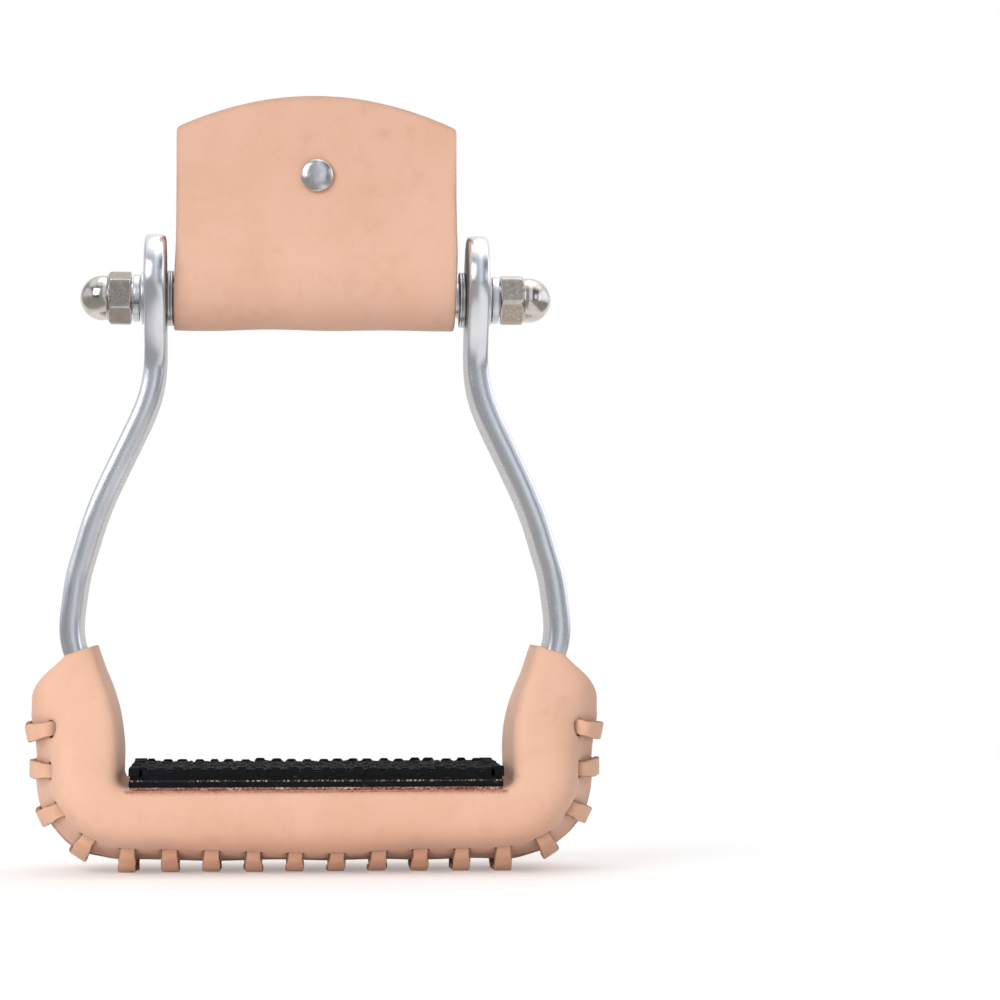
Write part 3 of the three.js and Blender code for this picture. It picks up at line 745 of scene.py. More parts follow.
@dataclass(frozen=True)
class TreadRubber:
    """Matte black rubber with moulded grit and pale scuffs along its cut edge."""

    name: str = "tread_rubber"
    black: Colour = srgb(13, 14, 17)
    dusty: Colour = srgb(30, 32, 37)
    scuff: Colour = srgb(112, 106, 102)

    def material(self) -> bpy.types.Material:
        """Builds the rubber.

        Returns:
            The material.
        """
        paint = Paint(self.name)
        desk = paint.desk
        space = desk.place()
        cloud = desk.noise(space, 0.3, 4, 0.65)
        grit = desk.noise(space, 2.8, 4, 0.7, 0.6)
        threads = desk.noise(desk.place((0.25, 1, 2.2)), 1.6, 3, 0.6, 0.8)
        cut = desk.mark("cut")
        pale = desk.mark("pale")
        colour = desk.mix(cloud.step(0.45, 0.8) * 0.4, self.black, self.dusty)
        colour = desk.mix(cut * threads.step(0.64, 0.7) * 0.5, colour, self.scuff)
        colour = desk.mix(pale * grit.step(0.45, 0.6), colour, self.scuff)
        normal = desk.bump(grit + cut * threads * 0.5, 0.16, 0.8)
        paint.set(Base_Color=colour, Roughness=0.55 + 0.25 * cloud, Normal=normal, Specular_IOR_Level=0.14)
        return paint.material


@dataclass(frozen=True)
class CordPly:
    """Cut edge of the woven ply: pale cord ends between dark rubber."""

    name: str = "tread_ply"
    cord: Colour = srgb(196, 164, 144)
    dark: Colour = srgb(34, 31, 32)

    def material(self) -> bpy.types.Material:
        """Builds the weave.

        Returns:
            The material.
        """
        paint = Paint(self.name)
        desk = paint.desk
        wide = desk.noise(desk.place((0.12, 0.12, 0.12)), 1, 3, 0.6)
        knots = desk.cells(desk.place((1, 1, 0.6)), 1.3)
        fluff = desk.noise(desk.place(), 2.6, 4, 0.7)
        cord = (1 - knots.step(0.3, 0.55)) * wide.step(0.36, 0.5)
        colour = desk.mix(cord * fluff.step(0.3, 0.55), self.dark, self.cord)
        normal = desk.bump(cord + fluff * 0.5, 0.2, 0.8)
        paint.set(Base_Color=colour, Roughness=0.82 + 0.1 * fluff, Normal=normal)
        return paint.material


@dataclass(frozen=True)
class GlueLine:
    """Dried glue and dye along the foot of the tread: whitish crumbs on a red-brown line."""

    name: str = "glue_line"
    brown: Colour = srgb(120, 56, 38)
    white: Colour = srgb(214, 190, 178)

    def material(self) -> bpy.types.Material:
        """Builds the glue.

        Returns:
            The material.
        """
        paint = Paint(self.name)
        desk = paint.desk
        crumbs = desk.noise(desk.place((0.9, 1, 1.4)), 1.5, 4, 0.7, 0.8)
        patches = desk.noise(desk.place(), 0.11, 2, 0.5)
        pale = crumbs.step(0.46, 0.58) * (0.4 + 0.6 * patches.step(0.4, 0.62))
        colour = desk.mix(pale, self.brown, self.white)
        normal = desk.bump(crumbs, 0.3, 0.8)
        paint.set(Base_Color=colour, Roughness=0.55 + 0.25 * crumbs, Normal=normal)
        return paint.material


@dataclass(frozen=True)
class StudioFloor:
    """Pale floor that keeps the shadow of the stirrup and turns white further out."""

    name: str = "studio_floor"
    pale: Colour = (0.86, 0.86, 0.86)
    near: float = 0.35
    far: float = 1.0
    lift: float = 0.3
    room_from: float = 0.06
    room_to: float = 0.25
    room_dim: float = 0.62

    def material(self) -> bpy.types.Material:
        """Builds the floor.

        Returns:
            The material.
        """
        material = bpy.data.materials.new(self.name)
        material.use_nodes = True
        desk = Desk(material.node_tree)
        coords = desk.node("ShaderNodeTexCoord").wire("Object")
        glossy = desk.node("ShaderNodeLightPath").wire("Is Glossy Ray")
        spot = desk.node("ShaderNodeSeparateXYZ", {}, {"Vector": coords})
        beside = abs(spot.wire("X"))
        front = beside * 0.8 - spot.wire("Y")
        panel = spot.wire("X").step(0.0, 0.1) * (1 - spot.wire("X").step(0.2, 0.3))
        dimmed = front.step(self.room_from, self.room_to) * glossy * (1 - panel * 0.7)
        seen = seen_rays(desk) * (1 - dimmed * self.room_dim)
        away = desk.node("ShaderNodeVectorMath", {"operation": "LENGTH"}, {"Vector": coords}).wire("Value")
        grain = desk.noise(coords, 40, 3, 0.6)
        paper = desk.mix(grain * 0.04, self.pale, (0.78, 0.78, 0.78))
        matte = desk.node("ShaderNodeBsdfDiffuse", {}, {"Color": paper}).wire("BSDF")
        lifted, white = (
            desk.node("ShaderNodeEmission", {}, {"Color": (1, 1, 1), "Strength": glow}).wire("Emission")
            for glow in (seen * self.lift, seen)
        )
        near = desk.node("ShaderNodeAddShader", {}, {"Shader": matte, "Shader_001": lifted}).wire("Shader")
        share = away.step(self.near, self.far).top(dimmed)
        blend = desk.node("ShaderNodeMixShader", {}, {"Fac": share, "Shader": near, "Shader_001": white})
        desk.node("ShaderNodeOutputMaterial", {}, {"Surface": blend.wire("Shader")})
        return material


def seen_rays(desk: Desk) -> Wire:
    """1 for camera, glossy and transmission rays, and 0 for the rest."""
    path = desk.node("ShaderNodeLightPath")
    return path.wire("Is Camera Ray").top(path.wire("Is Glossy Ray")).top(path.wire("Is Transmission Ray"))


# Leather sheets with real thickness


@dataclass(frozen=True)
class Punch:
    """A punched hole with round ends in a sheet of leather."""

    centre: np.ndarray
    along: np.ndarray
    across: np.ndarray
    straight: float
    radius: float

    def local(self, points: np.ndarray) -> tuple[np.ndarray, np.ndarray]:
        """Distances along and across the hole of points near it."""
        off = points - self.centre
        return off @ self.along, off @ self.across

    def reach(self, points: np.ndarray) -> np.ndarray:
        """Distance of points from the rim, negative inside; far points get a large value.

        Args:
            points: Array whose last axis is X, Y and Z.

        Returns:
            The distances.
        """
        a, b = self.local(points)
        gap = np.hypot(np.maximum(np.abs(a) - self.straight, 0), b) - self.radius
        away = np.linalg.norm(points - self.centre, axis=-1)
        return np.where(away < 3 * (self.straight + self.radius), gap, FAR)

    def onto_rim(self, points: np.ndarray) -> np.ndarray:
        """Points moved in the sheet's plane onto the rim.

        Args:
            points: Rows of X, Y and Z.

        Returns:
            The moved points.
        """
        a, b = self.local(points)
        core = np.clip(a, -self.straight, self.straight)
        off = np.stack([a - core, b], axis=-1)
        size = np.maximum(np.linalg.norm(off, axis=-1, keepdims=True), 1e-6)
        rim = off / size * self.radius
        return points + (core + rim[:, 0] - a)[:, None] * self.along + (rim[:, 1] - b)[:, None] * self.across


@dataclass
class Hide:
    """One sheet of leather: a grid of points on its grain side that gets a thickness."""

    grain: np.ndarray
    skin: float
    round_off: float = 0.5
    punches: list[Punch] = field(default_factory=list)
    pull_in: float = 0.5
    pull_wide: float = 0.9
    even_steps: int = 3
    flesh_sink: float = 0.4
    # Share of painted shade given to the walls inside punched holes
    wall_dark: float = 0.55
    edge_fade: float = 0.7
    rim_fade: float = 0.5

    @cached_property
    def normals(self) -> np.ndarray:
        """Directions that point out of the grain side."""
        down = np.gradient(self.grain, axis=0)
        over = np.gradient(self.grain, axis=1)
        out = np.cross(down, over)
        out /= np.maximum(np.linalg.norm(out, axis=-1, keepdims=True), 1e-9)
        for _ in range(self.even_steps):
            wide = np.pad(out, ((1, 1), (1, 1), (0, 0)), mode="edge")
            out = wide[:-2, 1:-1] + wide[2:, 1:-1] + wide[1:-1, :-2] + wide[1:-1, 2:] + 2 * out
            out /= np.maximum(np.linalg.norm(out, axis=-1, keepdims=True), 1e-9)
        return out

    @cached_property
    def edge_gaps(self) -> tuple[np.ndarray, np.ndarray]:
        """Distance of each grid point to the nearer end of its column and of its row."""
        gaps = []
        for axis in (0, 1):
            steps = np.linalg.norm(np.diff(self.grain, axis=axis), axis=-1)
            gone = np.cumsum(steps, axis=axis)
            pad = [(0, 0), (0, 0)]
            pad[axis] = (1, 0)
            gone = np.pad(gone, pad)
            whole = gone.take([-1], axis=axis)
            gaps.append(np.minimum(gone, whole - gone))
        return gaps[0], gaps[1]

    def tuck(self) -> np.ndarray:
        """How far each point moves into the sheet where its cut edges round off."""
        r = self.round_off
        a, b = (np.maximum(r - gap, 0) for gap in self.edge_gaps)
        return r - np.sqrt(np.maximum(r * r - a * a - b * b, 0))

    def build(self, name: str, crease: Optional[np.ndarray] = None) -> bpy.types.Object:
        """Builds the sheet.

        Args:
            name: Name of the object.
            crease: Wrinkling at each grid point, 0 to 1.

        Returns:
            The object.
        """
        rows, columns, _ = self.grain.shape
        kept = np.ones((rows - 1, columns - 1), dtype=bool)
        points = self.grain.copy()
        nearest = np.full((rows, columns), FAR)
        for punch in self.punches:
            reach = punch.reach(points)
            if not (reach < FAR).any():
                continue
            nearest = np.minimum(nearest, reach)
            middle = (reach[:-1, :-1] + reach[1:, :-1] + reach[:-1, 1:] + reach[1:, 1:]) / 4
            gone = middle < 0
            kept &= ~gone
            touched = np.zeros((rows, columns), dtype=int)
            held = np.zeros((rows, columns), dtype=int)
            for di in (0, 1):
                for dj in (0, 1):
                    touched[di:rows - 1 + di, dj:columns - 1 + dj] += gone
                    held[di:rows - 1 + di, dj:columns - 1 + dj] += ~gone
            rim = (touched > 0) & (held > 0)
            points[rim] = punch.onto_rim(points[rim])
            nearest[rim] = 0
        sunk = self.pull_in * np.exp(-np.maximum(nearest, 0) / self.pull_wide)
        tuck = self.tuck()
        top = points - self.normals * (tuck + sunk)[..., None]
        low = points - self.normals * (self.skin - tuck + self.flesh_sink * sunk)[..., None]
        whole = np.concatenate([top.reshape(-1, 3), low.reshape(-1, 3)])
        below = rows * columns
        made: list[tuple[tuple[int, ...], float, float, float]] = []
        for i in range(rows - 1):
            for j in range(columns - 1):
                if not kept[i, j]:
                    continue
                a, b = i * columns + j, i * columns + j + 1
                c, d = b + columns, a + columns
                made.append(((a, b, c, d), 0, 0, 0))
                made.append(((d + below, c + below, b + below, a + below), 0, 1, 0))
                ways = (((i - 1, j), a, b), ((i, j + 1), b, c), ((i + 1, j), c, d), ((i, j - 1), d, a))
                for (ni, nj), p, q in ways:
                    outside = not (0 <= ni < rows - 1 and 0 <= nj < columns - 1)
                    if outside or not kept[ni, nj]:
                        # Walls inside punched holes carry the painted hole shade; the outer cut edges get
                        # none.
                        made.append(((q, p, p + below, q + below), 1, 0, 0 if outside else self.wall_dark))
        faces, cut, flesh, deep = zip(*made)
        closest = np.minimum(*self.edge_gaps)
        edge = np.maximum(np.exp(-closest / self.edge_fade), np.exp(-np.maximum(nearest, 0) / self.rim_fade))
        empty = np.zeros((rows, columns))
        both = {"edge": edge, "crease": empty if crease is None else crease}
        marks = {label: np.tile(values.ravel(), 2) for label, values in both.items()}
        return new_piece(name, whole, faces, {"cut": cut, "flesh": flesh, "deep": deep}, marks, sharp=48)


# The bent bar and what wraps it


@dataclass(frozen=True)
class StirrupRun:
    """Middle line of the bent bar and the leather's sizes along it, as the part's source has them."""

    bar_thick: float = 6.35
    bar_wide: float = 25.4
    seat: float = 0.3
    cover_skin: float = 2.8
    cover_fillet: float = 3.0
    cover_bulge: float = 16.6
    cover_half_depth: float = 30.0
    cover_rise: float = 37.8
    plate_edge_room: float = 2.2
    lace_thick: float = 1.8
    lace_arch: float = 1.4
    foot_half: float = 64.6
    belly_half: float = 73.1
    belly_z: float = 73.2
    neck_z: float = 151.2
    neck_gap: float = 90.0
    straight_top: float = 20.0
    line_step: float = 0.25
    soften_below: tuple = (46.0, 24.0)
    soften_span: int = 83
    key_places: int = 1441
    key_span: int = 69
    lower_shares: tuple = (
        (0, 0), (0, 0.14), (0.06, 0.32), (0.17, 0.43), (0.35, 0.54), (0.57, 0.65), (0.77, 0.77),
        (0.94, 0.88), (1, 1),
    )
    upper_shares: tuple = (
        (0.03, 0.1), (0.08, 0.2), (0.17, 0.3), (0.265, 0.4), (0.385, 0.5), (0.53, 0.6), (0.68, 0.7),
        (0.83, 0.8), (0.95, 0.9), (1, 1),
    )
    cover_key_shares: tuple = (
        (0, 1, 1, 0.014, 0.467, 1, 0),
        (1, 1, 1, 0.014, 0.48, 1, 0.07),
        (1.22, 1.01, 1, 0.014, 0.485, 0.9, 0.1),
        (1.41, 1.11, 1, 0.015, 0.485, 0.7, 0.12),
        (1.63, 1.14, 0.995, 0.02, 0.495, 0.5, 0.12),
        (1.8, 1.19, 0.985, 0.03, 0.505, 0.35, 0.11),
        (2, 1.18, 0.965, 0.055, 0.525, 0.3, 0.09),
        (2.18, 1.18, 0.9, 0.1, 0.555, 0.2, 0.06),
        (2.31, 1.19, 0.835, 0.125, 0.58, 0.15, 0.04),
        (2.45, 1.2, 0.757, 0.147, 0.59, 0.15, 0.02),
        (2.63, 1.17, 0.68, 0.2, 0.55, 0.15, 0),
        (2.72, 1.13, 0.64, 0.25, 0.5, 0.15, 0),
        (2.82, 1.05, 0.6, 0.327, 0.5, 0.15, 0),
        (2.91, 0.85, 0.565, 0.45, 0.5, 0.15, 0),
        (3, 0.43, 0.535, 0.524, 0.5, 0.15, 0),
    )
    section_shares: tuple = (
        (0, 0), (0, 0.86), (0.04, 0.955), (0.12, 0.99), (0.3, 1), (0.5, 0.985), (0.68, 0.9),
        (0.8, 0.75), (0.89, 0.55), (0.95, 0.35), (0.985, 0.17), (1, 0),
    )

    @property
    def inner_offset(self) -> float:
        """From the bar's middle to the grain side of the leather on it."""
        return self.bar_thick / 2 + self.seat + self.cover_skin

    @property
    def corner_radius(self) -> float:
        """Radius of the bar's middle line at the foot corners."""
        return self.cover_fillet + self.inner_offset

    @property
    def plate_z(self) -> float:
        """Height of the bar's middle under the tread."""
        return self.cover_bulge + self.lace_arch + self.lace_thick

    @property
    def tread_half(self) -> float:
        """Half length of the straight foot."""
        return self.foot_half - self.corner_radius

    @property
    def arm_middle(self) -> float:
        """X of the bar's middle at the ears."""
        return self.neck_gap / 2 + self.bar_thick / 2

    @cached_property
    def arm(self) -> Track:
        """Middle line of the right arm, from the foot corner to past its last bend."""
        low_z = self.plate_z + self.corner_radius
        lower = [
            (self.foot_half + (self.belly_half - self.foot_half) * out, low_z + (self.belly_z - low_z) * up)
            for out, up in self.lower_shares
        ]
        upper = [
            (self.belly_half + (self.arm_middle - self.belly_half) * out,
             self.belly_z + (self.neck_z - self.belly_z) * up)
            for out, up in self.upper_shares
        ]
        bent = Track(through_points(np.array(lower + upper), 60))
        line = bent.at(np.arange(0, bent.long, self.line_step))
        straight = np.arange(0, self.straight_top + self.line_step / 2, self.line_step)
        tip = np.column_stack([np.full(len(straight), self.arm_middle), self.neck_z + straight])
        line = np.vstack([line, tip])
        low, high = (self.neck_z - below for below in self.soften_below)
        share = smooth_step(low, high, line[:, 1])
        line[:, 0] += (softened(line[:, 0], self.soften_span) - line[:, 0]) * share
        return Track(line)

    @cached_property
    def smooth_keys(self) -> np.ndarray:
        """The cover's table read finely and softened between its rows."""
        keys = np.array(self.cover_key_shares)
        places = np.linspace(-0.3, 3.3, self.key_places)
        rows = np.stack([np.interp(np.abs(places), keys[:, 0], column) for column in keys.T[1:]], axis=-1)
        return np.column_stack([places, *(softened(column, self.key_span) for column in rows.T)])

    def sizes(self, place: np.ndarray) -> dict[str, np.ndarray]:
        """Bulge, half depth, lip gap, lace reach and lace arch at places of the run.

        Args:
            place: 0 in the middle of the tread, 1 to 2 the corner, 3 the top edge of the cover.

        Returns:
            The sizes by name.
        """
        table = self.smooth_keys
        read = [np.interp(place, table[:, 0], column) for column in table.T[1:]]
        return {
            "bulge": read[0] * self.cover_bulge,
            "half": read[1] * self.cover_half_depth,
            "lip": read[2] * self.cover_half_depth,
            "reach": read[3] * self.cover_half_depth,
            "arch": read[4] * self.lace_arch,
            "keel": read[5],
        }

    def line(self, marks: np.ndarray) -> np.ndarray:
        """Middle line and outward direction of the bar.

        Args:
            marks: Places of the run, negative on the left half.

        Returns:
            Rows of X, Z and the outward direction's X and Z.
        """
        marks = np.asarray(marks, dtype=float)
        place, side = np.abs(marks), np.where(marks < 0, -1.0, 1.0)
        turn = np.clip(place - 1, 0, 1) * math.pi / 2
        x = np.minimum(place, 1) * self.tread_half + self.corner_radius * np.sin(turn)
        z = self.plate_z + self.corner_radius * (1 - np.cos(turn))
        nx, nz = np.sin(turn), -np.cos(turn)
        along = np.maximum(place - 2, 0) * self.cover_rise
        reached = np.minimum(along, self.arm.long)
        spot, way = self.arm.at(reached), self.arm.way(reached)
        on_arm = place > 2
        past = along > self.arm.long
        x = np.where(on_arm, spot[..., 0], x)
        z = np.where(on_arm, spot[..., 1] + np.maximum(along - self.arm.long, 0), z)
        nx = np.where(past, 1.0, np.where(on_arm, way[..., 1], nx))
        nz = np.where(past, 0.0, np.where(on_arm, -way[..., 0], nz))
        return np.stack([side * x, z, side * nx, nz], axis=-1)

    def at(self, marks: np.ndarray, outward: np.ndarray, y: np.ndarray) -> np.ndarray:
        """Points near the run.

        Args:
            marks: Places of the run, negative on the left half.
            outward: Distances outward from the bar's middle.
            y: Distances behind the middle.

        Returns:
            The points, with X, Y and Z on the last axis.
        """
        line = self.line(marks)
        x, z = line[..., 0] + outward * line[..., 2], line[..., 1] + outward * line[..., 3]
        return np.stack([x, y + 0 * outward, z], axis=-1)

    @cached_property
    def section(self) -> np.ndarray:
        """Smooth half section of the cover: share of its depth and share of its half width."""
        shares = np.array(self.section_shares, dtype=float)
        scale = np.array([self.inner_offset + self.cover_bulge, self.cover_half_depth])
        mirrored = np.vstack([[0, -shares[1][1]], shares, [shares[-2][0], -shares[-2][1]]])
        dense = through_points(mirrored * scale, 24) / scale
        return dense[24:-24]

    def section_at(self, mark: float) -> np.ndarray:
        """Half section of the cover's grain side at a place, from its inner middle to the seam.

        Args:
            mark: Place of the run.

        Returns:
            Rows of the distance outward and of Y.
        """
        s = self.sizes(np.array(abs(mark)))
        deep, wide = self.section[:, 0], self.section[:, 1]
        past = np.arange(len(wide)) > np.argmax(wide)
        share = np.clip(wide, 0, 1)
        deep = deep - np.where(past, float(s["keel"]) * 4 * share * (1 - share), 0)
        outward = -self.inner_offset + deep * (s["bulge"] + self.inner_offset)
        return np.stack([outward, wide * s["half"]], axis=-1)


@dataclass
class FrameBar:
    """The bent aluminium bar: wide foot plate, two arms and a round ear at each top end."""

    run: StirrupRun
    edge_round: float = 1.5
    ear_radius: float = 14.6
    ear_forward: float = 10.0
    ear_above_bolt: float = 4.1
    ear_front_blend: float = 26.0
    ear_back_blend: float = 34.0
    crown: float = 0.22
    drill_reach: float = 90.0
    corner_steps: int = 5
    face_steps: int = 9
    foot_rows: int = 25
    bend_rows: int = 17
    arm_rows: int = 170
    ear_rows: int = 19
    sharp: float = 60.0

    @property
    def ear_z(self) -> float:
        """Height of the middle of the ear's round."""
        return float(BOLT_AXIS[2]) + self.ear_above_bolt

    def edges(self, marks: np.ndarray, z: np.ndarray) -> tuple[np.ndarray, np.ndarray]:
        """Front and back edges of the bar along its run.

        Args:
            marks: Places of the run.
            z: Heights of the middle line there.

        Returns:
            Y of the front edge and of the back edge.
        """
        half = self.run.bar_wide / 2
        below = self.ear_z - z
        front_share = 1 - smooth_step(0, self.ear_front_blend, below)
        back_share = 1 - smooth_step(0, self.ear_back_blend, below)
        front = -half - (self.ear_forward + self.ear_radius - half) * front_share
        back = half - (half - self.ear_radius + self.ear_forward) * back_share
        foot = self.run.sizes(np.abs(marks))["half"] - self.run.cover_skin - self.run.plate_edge_room
        foot = np.where(np.abs(marks) <= 3, np.maximum(foot - half, 0), 0)
        return front - foot, back + foot

    def ring(self) -> np.ndarray:
        """One ring round the bar's section, as shares.

        Returns:
            Rows of the side of Y, the cosine and the sine of the edge rounding, and the share
            across the flat faces.
        """
        turn = np.linspace(0, math.pi / 2, self.corner_steps)
        flat = np.linspace(-1, 1, self.face_steps)[1:-1]
        spots: list[tuple[float, float, float, float]] = []
        for face in (1, -1):
            spots += [(face, math.cos(a), face * math.sin(a), np.nan) for a in turn]
            spots += [(0, 0, face, share) for share in flat[::-face]]
            spots += [(-face, math.cos(a), face * math.sin(a), np.nan) for a in turn[::-1]]
        return np.array(spots).T

    def half_rings(self, side: Side) -> np.ndarray:
        """Rings of one half, from the middle of the foot to the tip of the ear.

        Args:
            side: Which half.

        Returns:
            Rings x points x coordinates.
        """
        run = self.run
        top = 2 + (run.arm.long + self.ear_z - run.neck_z - run.straight_top) / run.cover_rise
        foot, bend = np.linspace(0, 1, self.foot_rows), np.linspace(1, 2, self.bend_rows)[1:]
        places = np.concatenate([foot, bend, np.linspace(2, top, self.arm_rows)[1:]])
        marks = side.value * np.maximum(places, 1e-9)
        r, thick = self.edge_round, run.bar_thick / 2
        sign, cosine, sine, across = self.ring()
        line = run.line(marks)
        front, back = self.edges(marks, line[:, 1])
        flat = np.isnan(across)
        share = np.where(flat, 0, across)
        y = np.where(
            flat,
            np.where(sign > 0, back[:, None] - r + r * cosine, front[:, None] + r - r * cosine),
            ((back + front) / 2)[:, None] + share * ((back - front) / 2 - r)[:, None],
        )
        outward = np.where(flat, np.sign(sine) * (thick - r) + r * sine, thick * sine)
        fade = 1 - smooth_step(run.neck_z - 14, run.neck_z, line[:, 1])
        swell = np.where((~flat) & (sine > 0), 1 - share ** 2, 0) * self.crown
        outward = outward + swell * fade[:, None]
        bar = run.at(np.repeat(marks[:, None], len(sign), axis=1), outward, y)
        ear = []
        for angle in np.linspace(0, math.pi / 2, self.ear_rows)[1:]:
            rise, level = math.sin(angle), math.cos(angle)
            rim = np.where(flat, self.ear_radius - r + r * cosine, self.ear_radius - r)
            y_out = np.where(flat, sign, share) * rim * level - self.ear_forward
            lift = np.where(flat, rim, self.ear_radius - r) * rise
            x = side.value * (run.arm_middle + outward[-1])
            ear.append(np.stack([x, y_out, self.ear_z + lift], axis=-1))
        return np.concatenate([bar, np.array(ear)])

    def make(self) -> bpy.types.Object:
        """Builds the bar with its two bolt holes.

        Returns:
            The object, which stands for the frame's node.
        """
        grid = np.concatenate([self.half_rings(Side.RIGHT)[:0:-1], self.half_rings(Side.LEFT)])
        rings, sides, _ = grid.shape
        inner = np.tile(np.where(self.ring()[2] < -0.8, 1.0, 0.0), rings)
        points = grid.reshape(-1, 3)
        bar = new_piece("frame_bar", points, band_faces(rings, sides), None, {"inner": inner}, self.sharp)
        reach = self.drill_reach
        rod = np.array([[0, -reach], [BOLT_BORE, -reach], [BOLT_BORE, reach], [0, reach]])
        points, faces = turned(rod, 48)
        drill = new_piece("bolt_drill", points + BOLT_AXIS, faces)
        cut = bar.modifiers.new("bolt_holes", "BOOLEAN")
        cut.operation, cut.object, cut.solver = "DIFFERENCE", drill, "EXACT"
        finish_modifiers(bar, self.sharp)
        bpy.data.objects.remove(drill)
        dress(bar, PolishedBar().material(), Body.STIRRUP, "stirrup_frame")
        return bar


def finish_modifiers(piece: bpy.types.Object, sharp: float) -> None:
    """Applies a piece's modifiers to its mesh.

    Args:
        piece: The piece.
        sharp: Angle in degrees past which an edge is shaded sharp.
    """
    view = bpy.context.evaluated_depsgraph_get()
    mesh = bpy.data.meshes.new_from_object(piece.evaluated_get(view))
    piece.modifiers.clear()
    piece.data = mesh
    mesh.shade_smooth()
    mesh.set_sharp_from_angle(angle=math.radians(sharp))


@dataclass
class FootCover:
    """Moulded leather wrapped round the foot and butted along the outside."""

    run: StirrupRun
    leather: bpy.types.Material
    step: float = 0.85
    round_off: float = 0.45
    hole_long: float = 5.3
    hole_wide: float = 4.6
    hole_shift: float = 0.8
    lace_pitch: float = 12.4
    straps_a_side: int = 9
    hole_room: float = 4.2
    edge_slip: float = 0.75
    slip_fade: float = 2.6
    slip_back: float = 0.35
    wave_high: float = 0.22
    wave_long: float = 26.0
    corner_long: float = 36.0
    inner_columns: int = 25
    hole_columns: int = 13
    lip_columns: int = 8

    @cached_property
    def hole_marks(self) -> list[float]:
        """Places of the lace holes along the right half."""
        places = np.linspace(0, 3, 3001)
        spots = np.array([self.hole_spot(place, 1)[0] for place in places])
        gone = np.concatenate([[0.0], np.cumsum(np.linalg.norm(np.diff(spots, axis=0), axis=1))])
        wanted = (np.arange(self.straps_a_side) + 0.5) * self.lace_pitch
        return [float(place) for place in np.interp(wanted, gone, places)]

    def hole_spot(self, mark: float, sign: int) -> tuple[np.ndarray, np.ndarray, np.ndarray]:
        """Where a lace hole goes.

        Args:
            mark: Place of the run, negative on the left.
            sign: -1 for the front row of holes, 1 for the back row.

        Returns:
            The point on the grain side, the way out of it, and the way across it to the seam.
        """
        line = self.run.section_at(mark)
        reach = float(self.run.sizes(np.array(abs(mark)))["reach"])
        k = len(line) - 2
        while line[k][1] < reach:
            k -= 1
        low, high = line[k], line[k + 1]
        share = (low[1] - reach) / (low[1] - high[1])
        outward = low[0] + (high[0] - low[0]) * share
        way = (high - low) / np.linalg.norm(high - low)
        _, _, nx, nz = self.run.line(np.array(mark))
        face = np.array([-way[1] * nx, sign * way[0], -way[1] * nz])
        across = np.array([way[0] * nx, sign * way[1], way[0] * nz])
        point = self.run.at(np.array(mark), np.array(outward), np.array(sign * reach))
        return point, face, across

    @cached_property
    def punches(self) -> list[Punch]:
        """All the lace holes of the cover."""
        holes = []
        for place in self.hole_marks:
            for side in Side:
                mark = side.value * place
                _, _, nx, nz = self.run.line(np.array(mark))
                for sign in (-1, 1):
                    point, _, across = self.hole_spot(mark, sign)
                    along = np.array([-nz, 0, nx])
                    end = self.hole_wide / 2
                    middle = point - across * self.hole_shift
                    holes.append(Punch(middle, along, across, self.hole_long / 2 - end, end))
        return holes

    def run_marks(self) -> np.ndarray:
        """Places of the grid's rows along the whole run."""
        tread = np.linspace(0, 1, int(self.run.tread_half / self.step) + 1)
        corner = np.linspace(1, 2, int(self.corner_long / self.step) + 1)[1:]
        arm = 2 + spaced(self.run.cover_rise, self.step, self.round_off) / self.run.cover_rise
        half = np.concatenate([tread, corner, arm[arm > 2.012]])
        return np.concatenate([-half[:0:-1], half])

    def row(self, mark: float) -> np.ndarray:
        """Grid points of one section, from the front lip round the inside to the back lip.

        Args:
            mark: Place of the run.

        Returns:
            Rows of the distance outward and of Y.
        """
        line = self.run.section_at(mark)
        sizes = self.run.sizes(np.array(abs(mark)))
        far = np.argmax(line[:, 1])
        seam = float(np.clip(sizes["lip"], 0, line[far, 1] * 0.995))
        keep = np.arange(len(line)) <= far
        keep |= line[:, 1] > seam
        last = int(np.nonzero(keep)[0][-1])
        share = (line[last, 1] - seam) / max(line[last, 1] - line[last + 1, 1], 1e-9)
        lip = line[last] + (line[last + 1] - line[last]) * share
        track = Track(np.vstack([line[:last + 1], lip]) if share > 1e-4 else line[:last + 1])
        beyond = int(far + np.argmin(np.abs(line[far:, 1] - float(sizes["reach"]))))
        beyond = min(beyond, len(track.gone) - 1)
        hole = float(min(track.gone[beyond], track.long - self.hole_room - 1.2))
        before, after = hole - self.hole_room, hole + self.hole_room
        near = np.linspace(0, before, self.inner_columns)
        zone = np.linspace(before, after, self.hole_columns)[1:]
        edge = track.long - self.round_off * EDGE_STEPS[::-1]
        room = np.linspace(after + (track.long - after) / self.lip_columns, edge[0], self.lip_columns)[:-1]
        half = track.at(np.concatenate([near, zone, room, edge]))
        front = half[:0:-1] * np.array([1, -1])
        return np.vstack([front, half])

    def grid(self) -> tuple[np.ndarray, np.ndarray]:
        """Points of the grain side.

        Returns:
            Rows x columns x coordinates, and the place of each row.
        """
        marks = self.run_marks()
        rows = np.array([self.row(mark) for mark in marks])
        spread = np.repeat(marks[:, None], rows.shape[1], axis=1)
        gap = np.abs(np.abs(rows[..., 1]) - np.abs(rows[:, -1, 1])[:, None])
        gap += np.where(rows[..., 0] > 2, 0, FAR)
        uneven = 0.6 + 0.4 * ripple(np.stack([spread * 40, spread * 0, spread * 0], axis=-1), 24, 41)
        slip = self.edge_slip * uneven * np.exp(-gap / self.slip_fade) * smooth_step(2.1, 1.6, np.abs(spread))
        rows[..., 0] += np.where(rows[..., 1] > 0, slip, -self.slip_back * slip)
        return self.run.at(spread, rows[..., 0], rows[..., 1]), marks

    def sheet(self, grain: np.ndarray) -> Hide:
        """The punched sheet on a grid of its grain side."""
        return Hide(grain, self.run.cover_skin, self.round_off, self.punches, 0.55, 1.1)

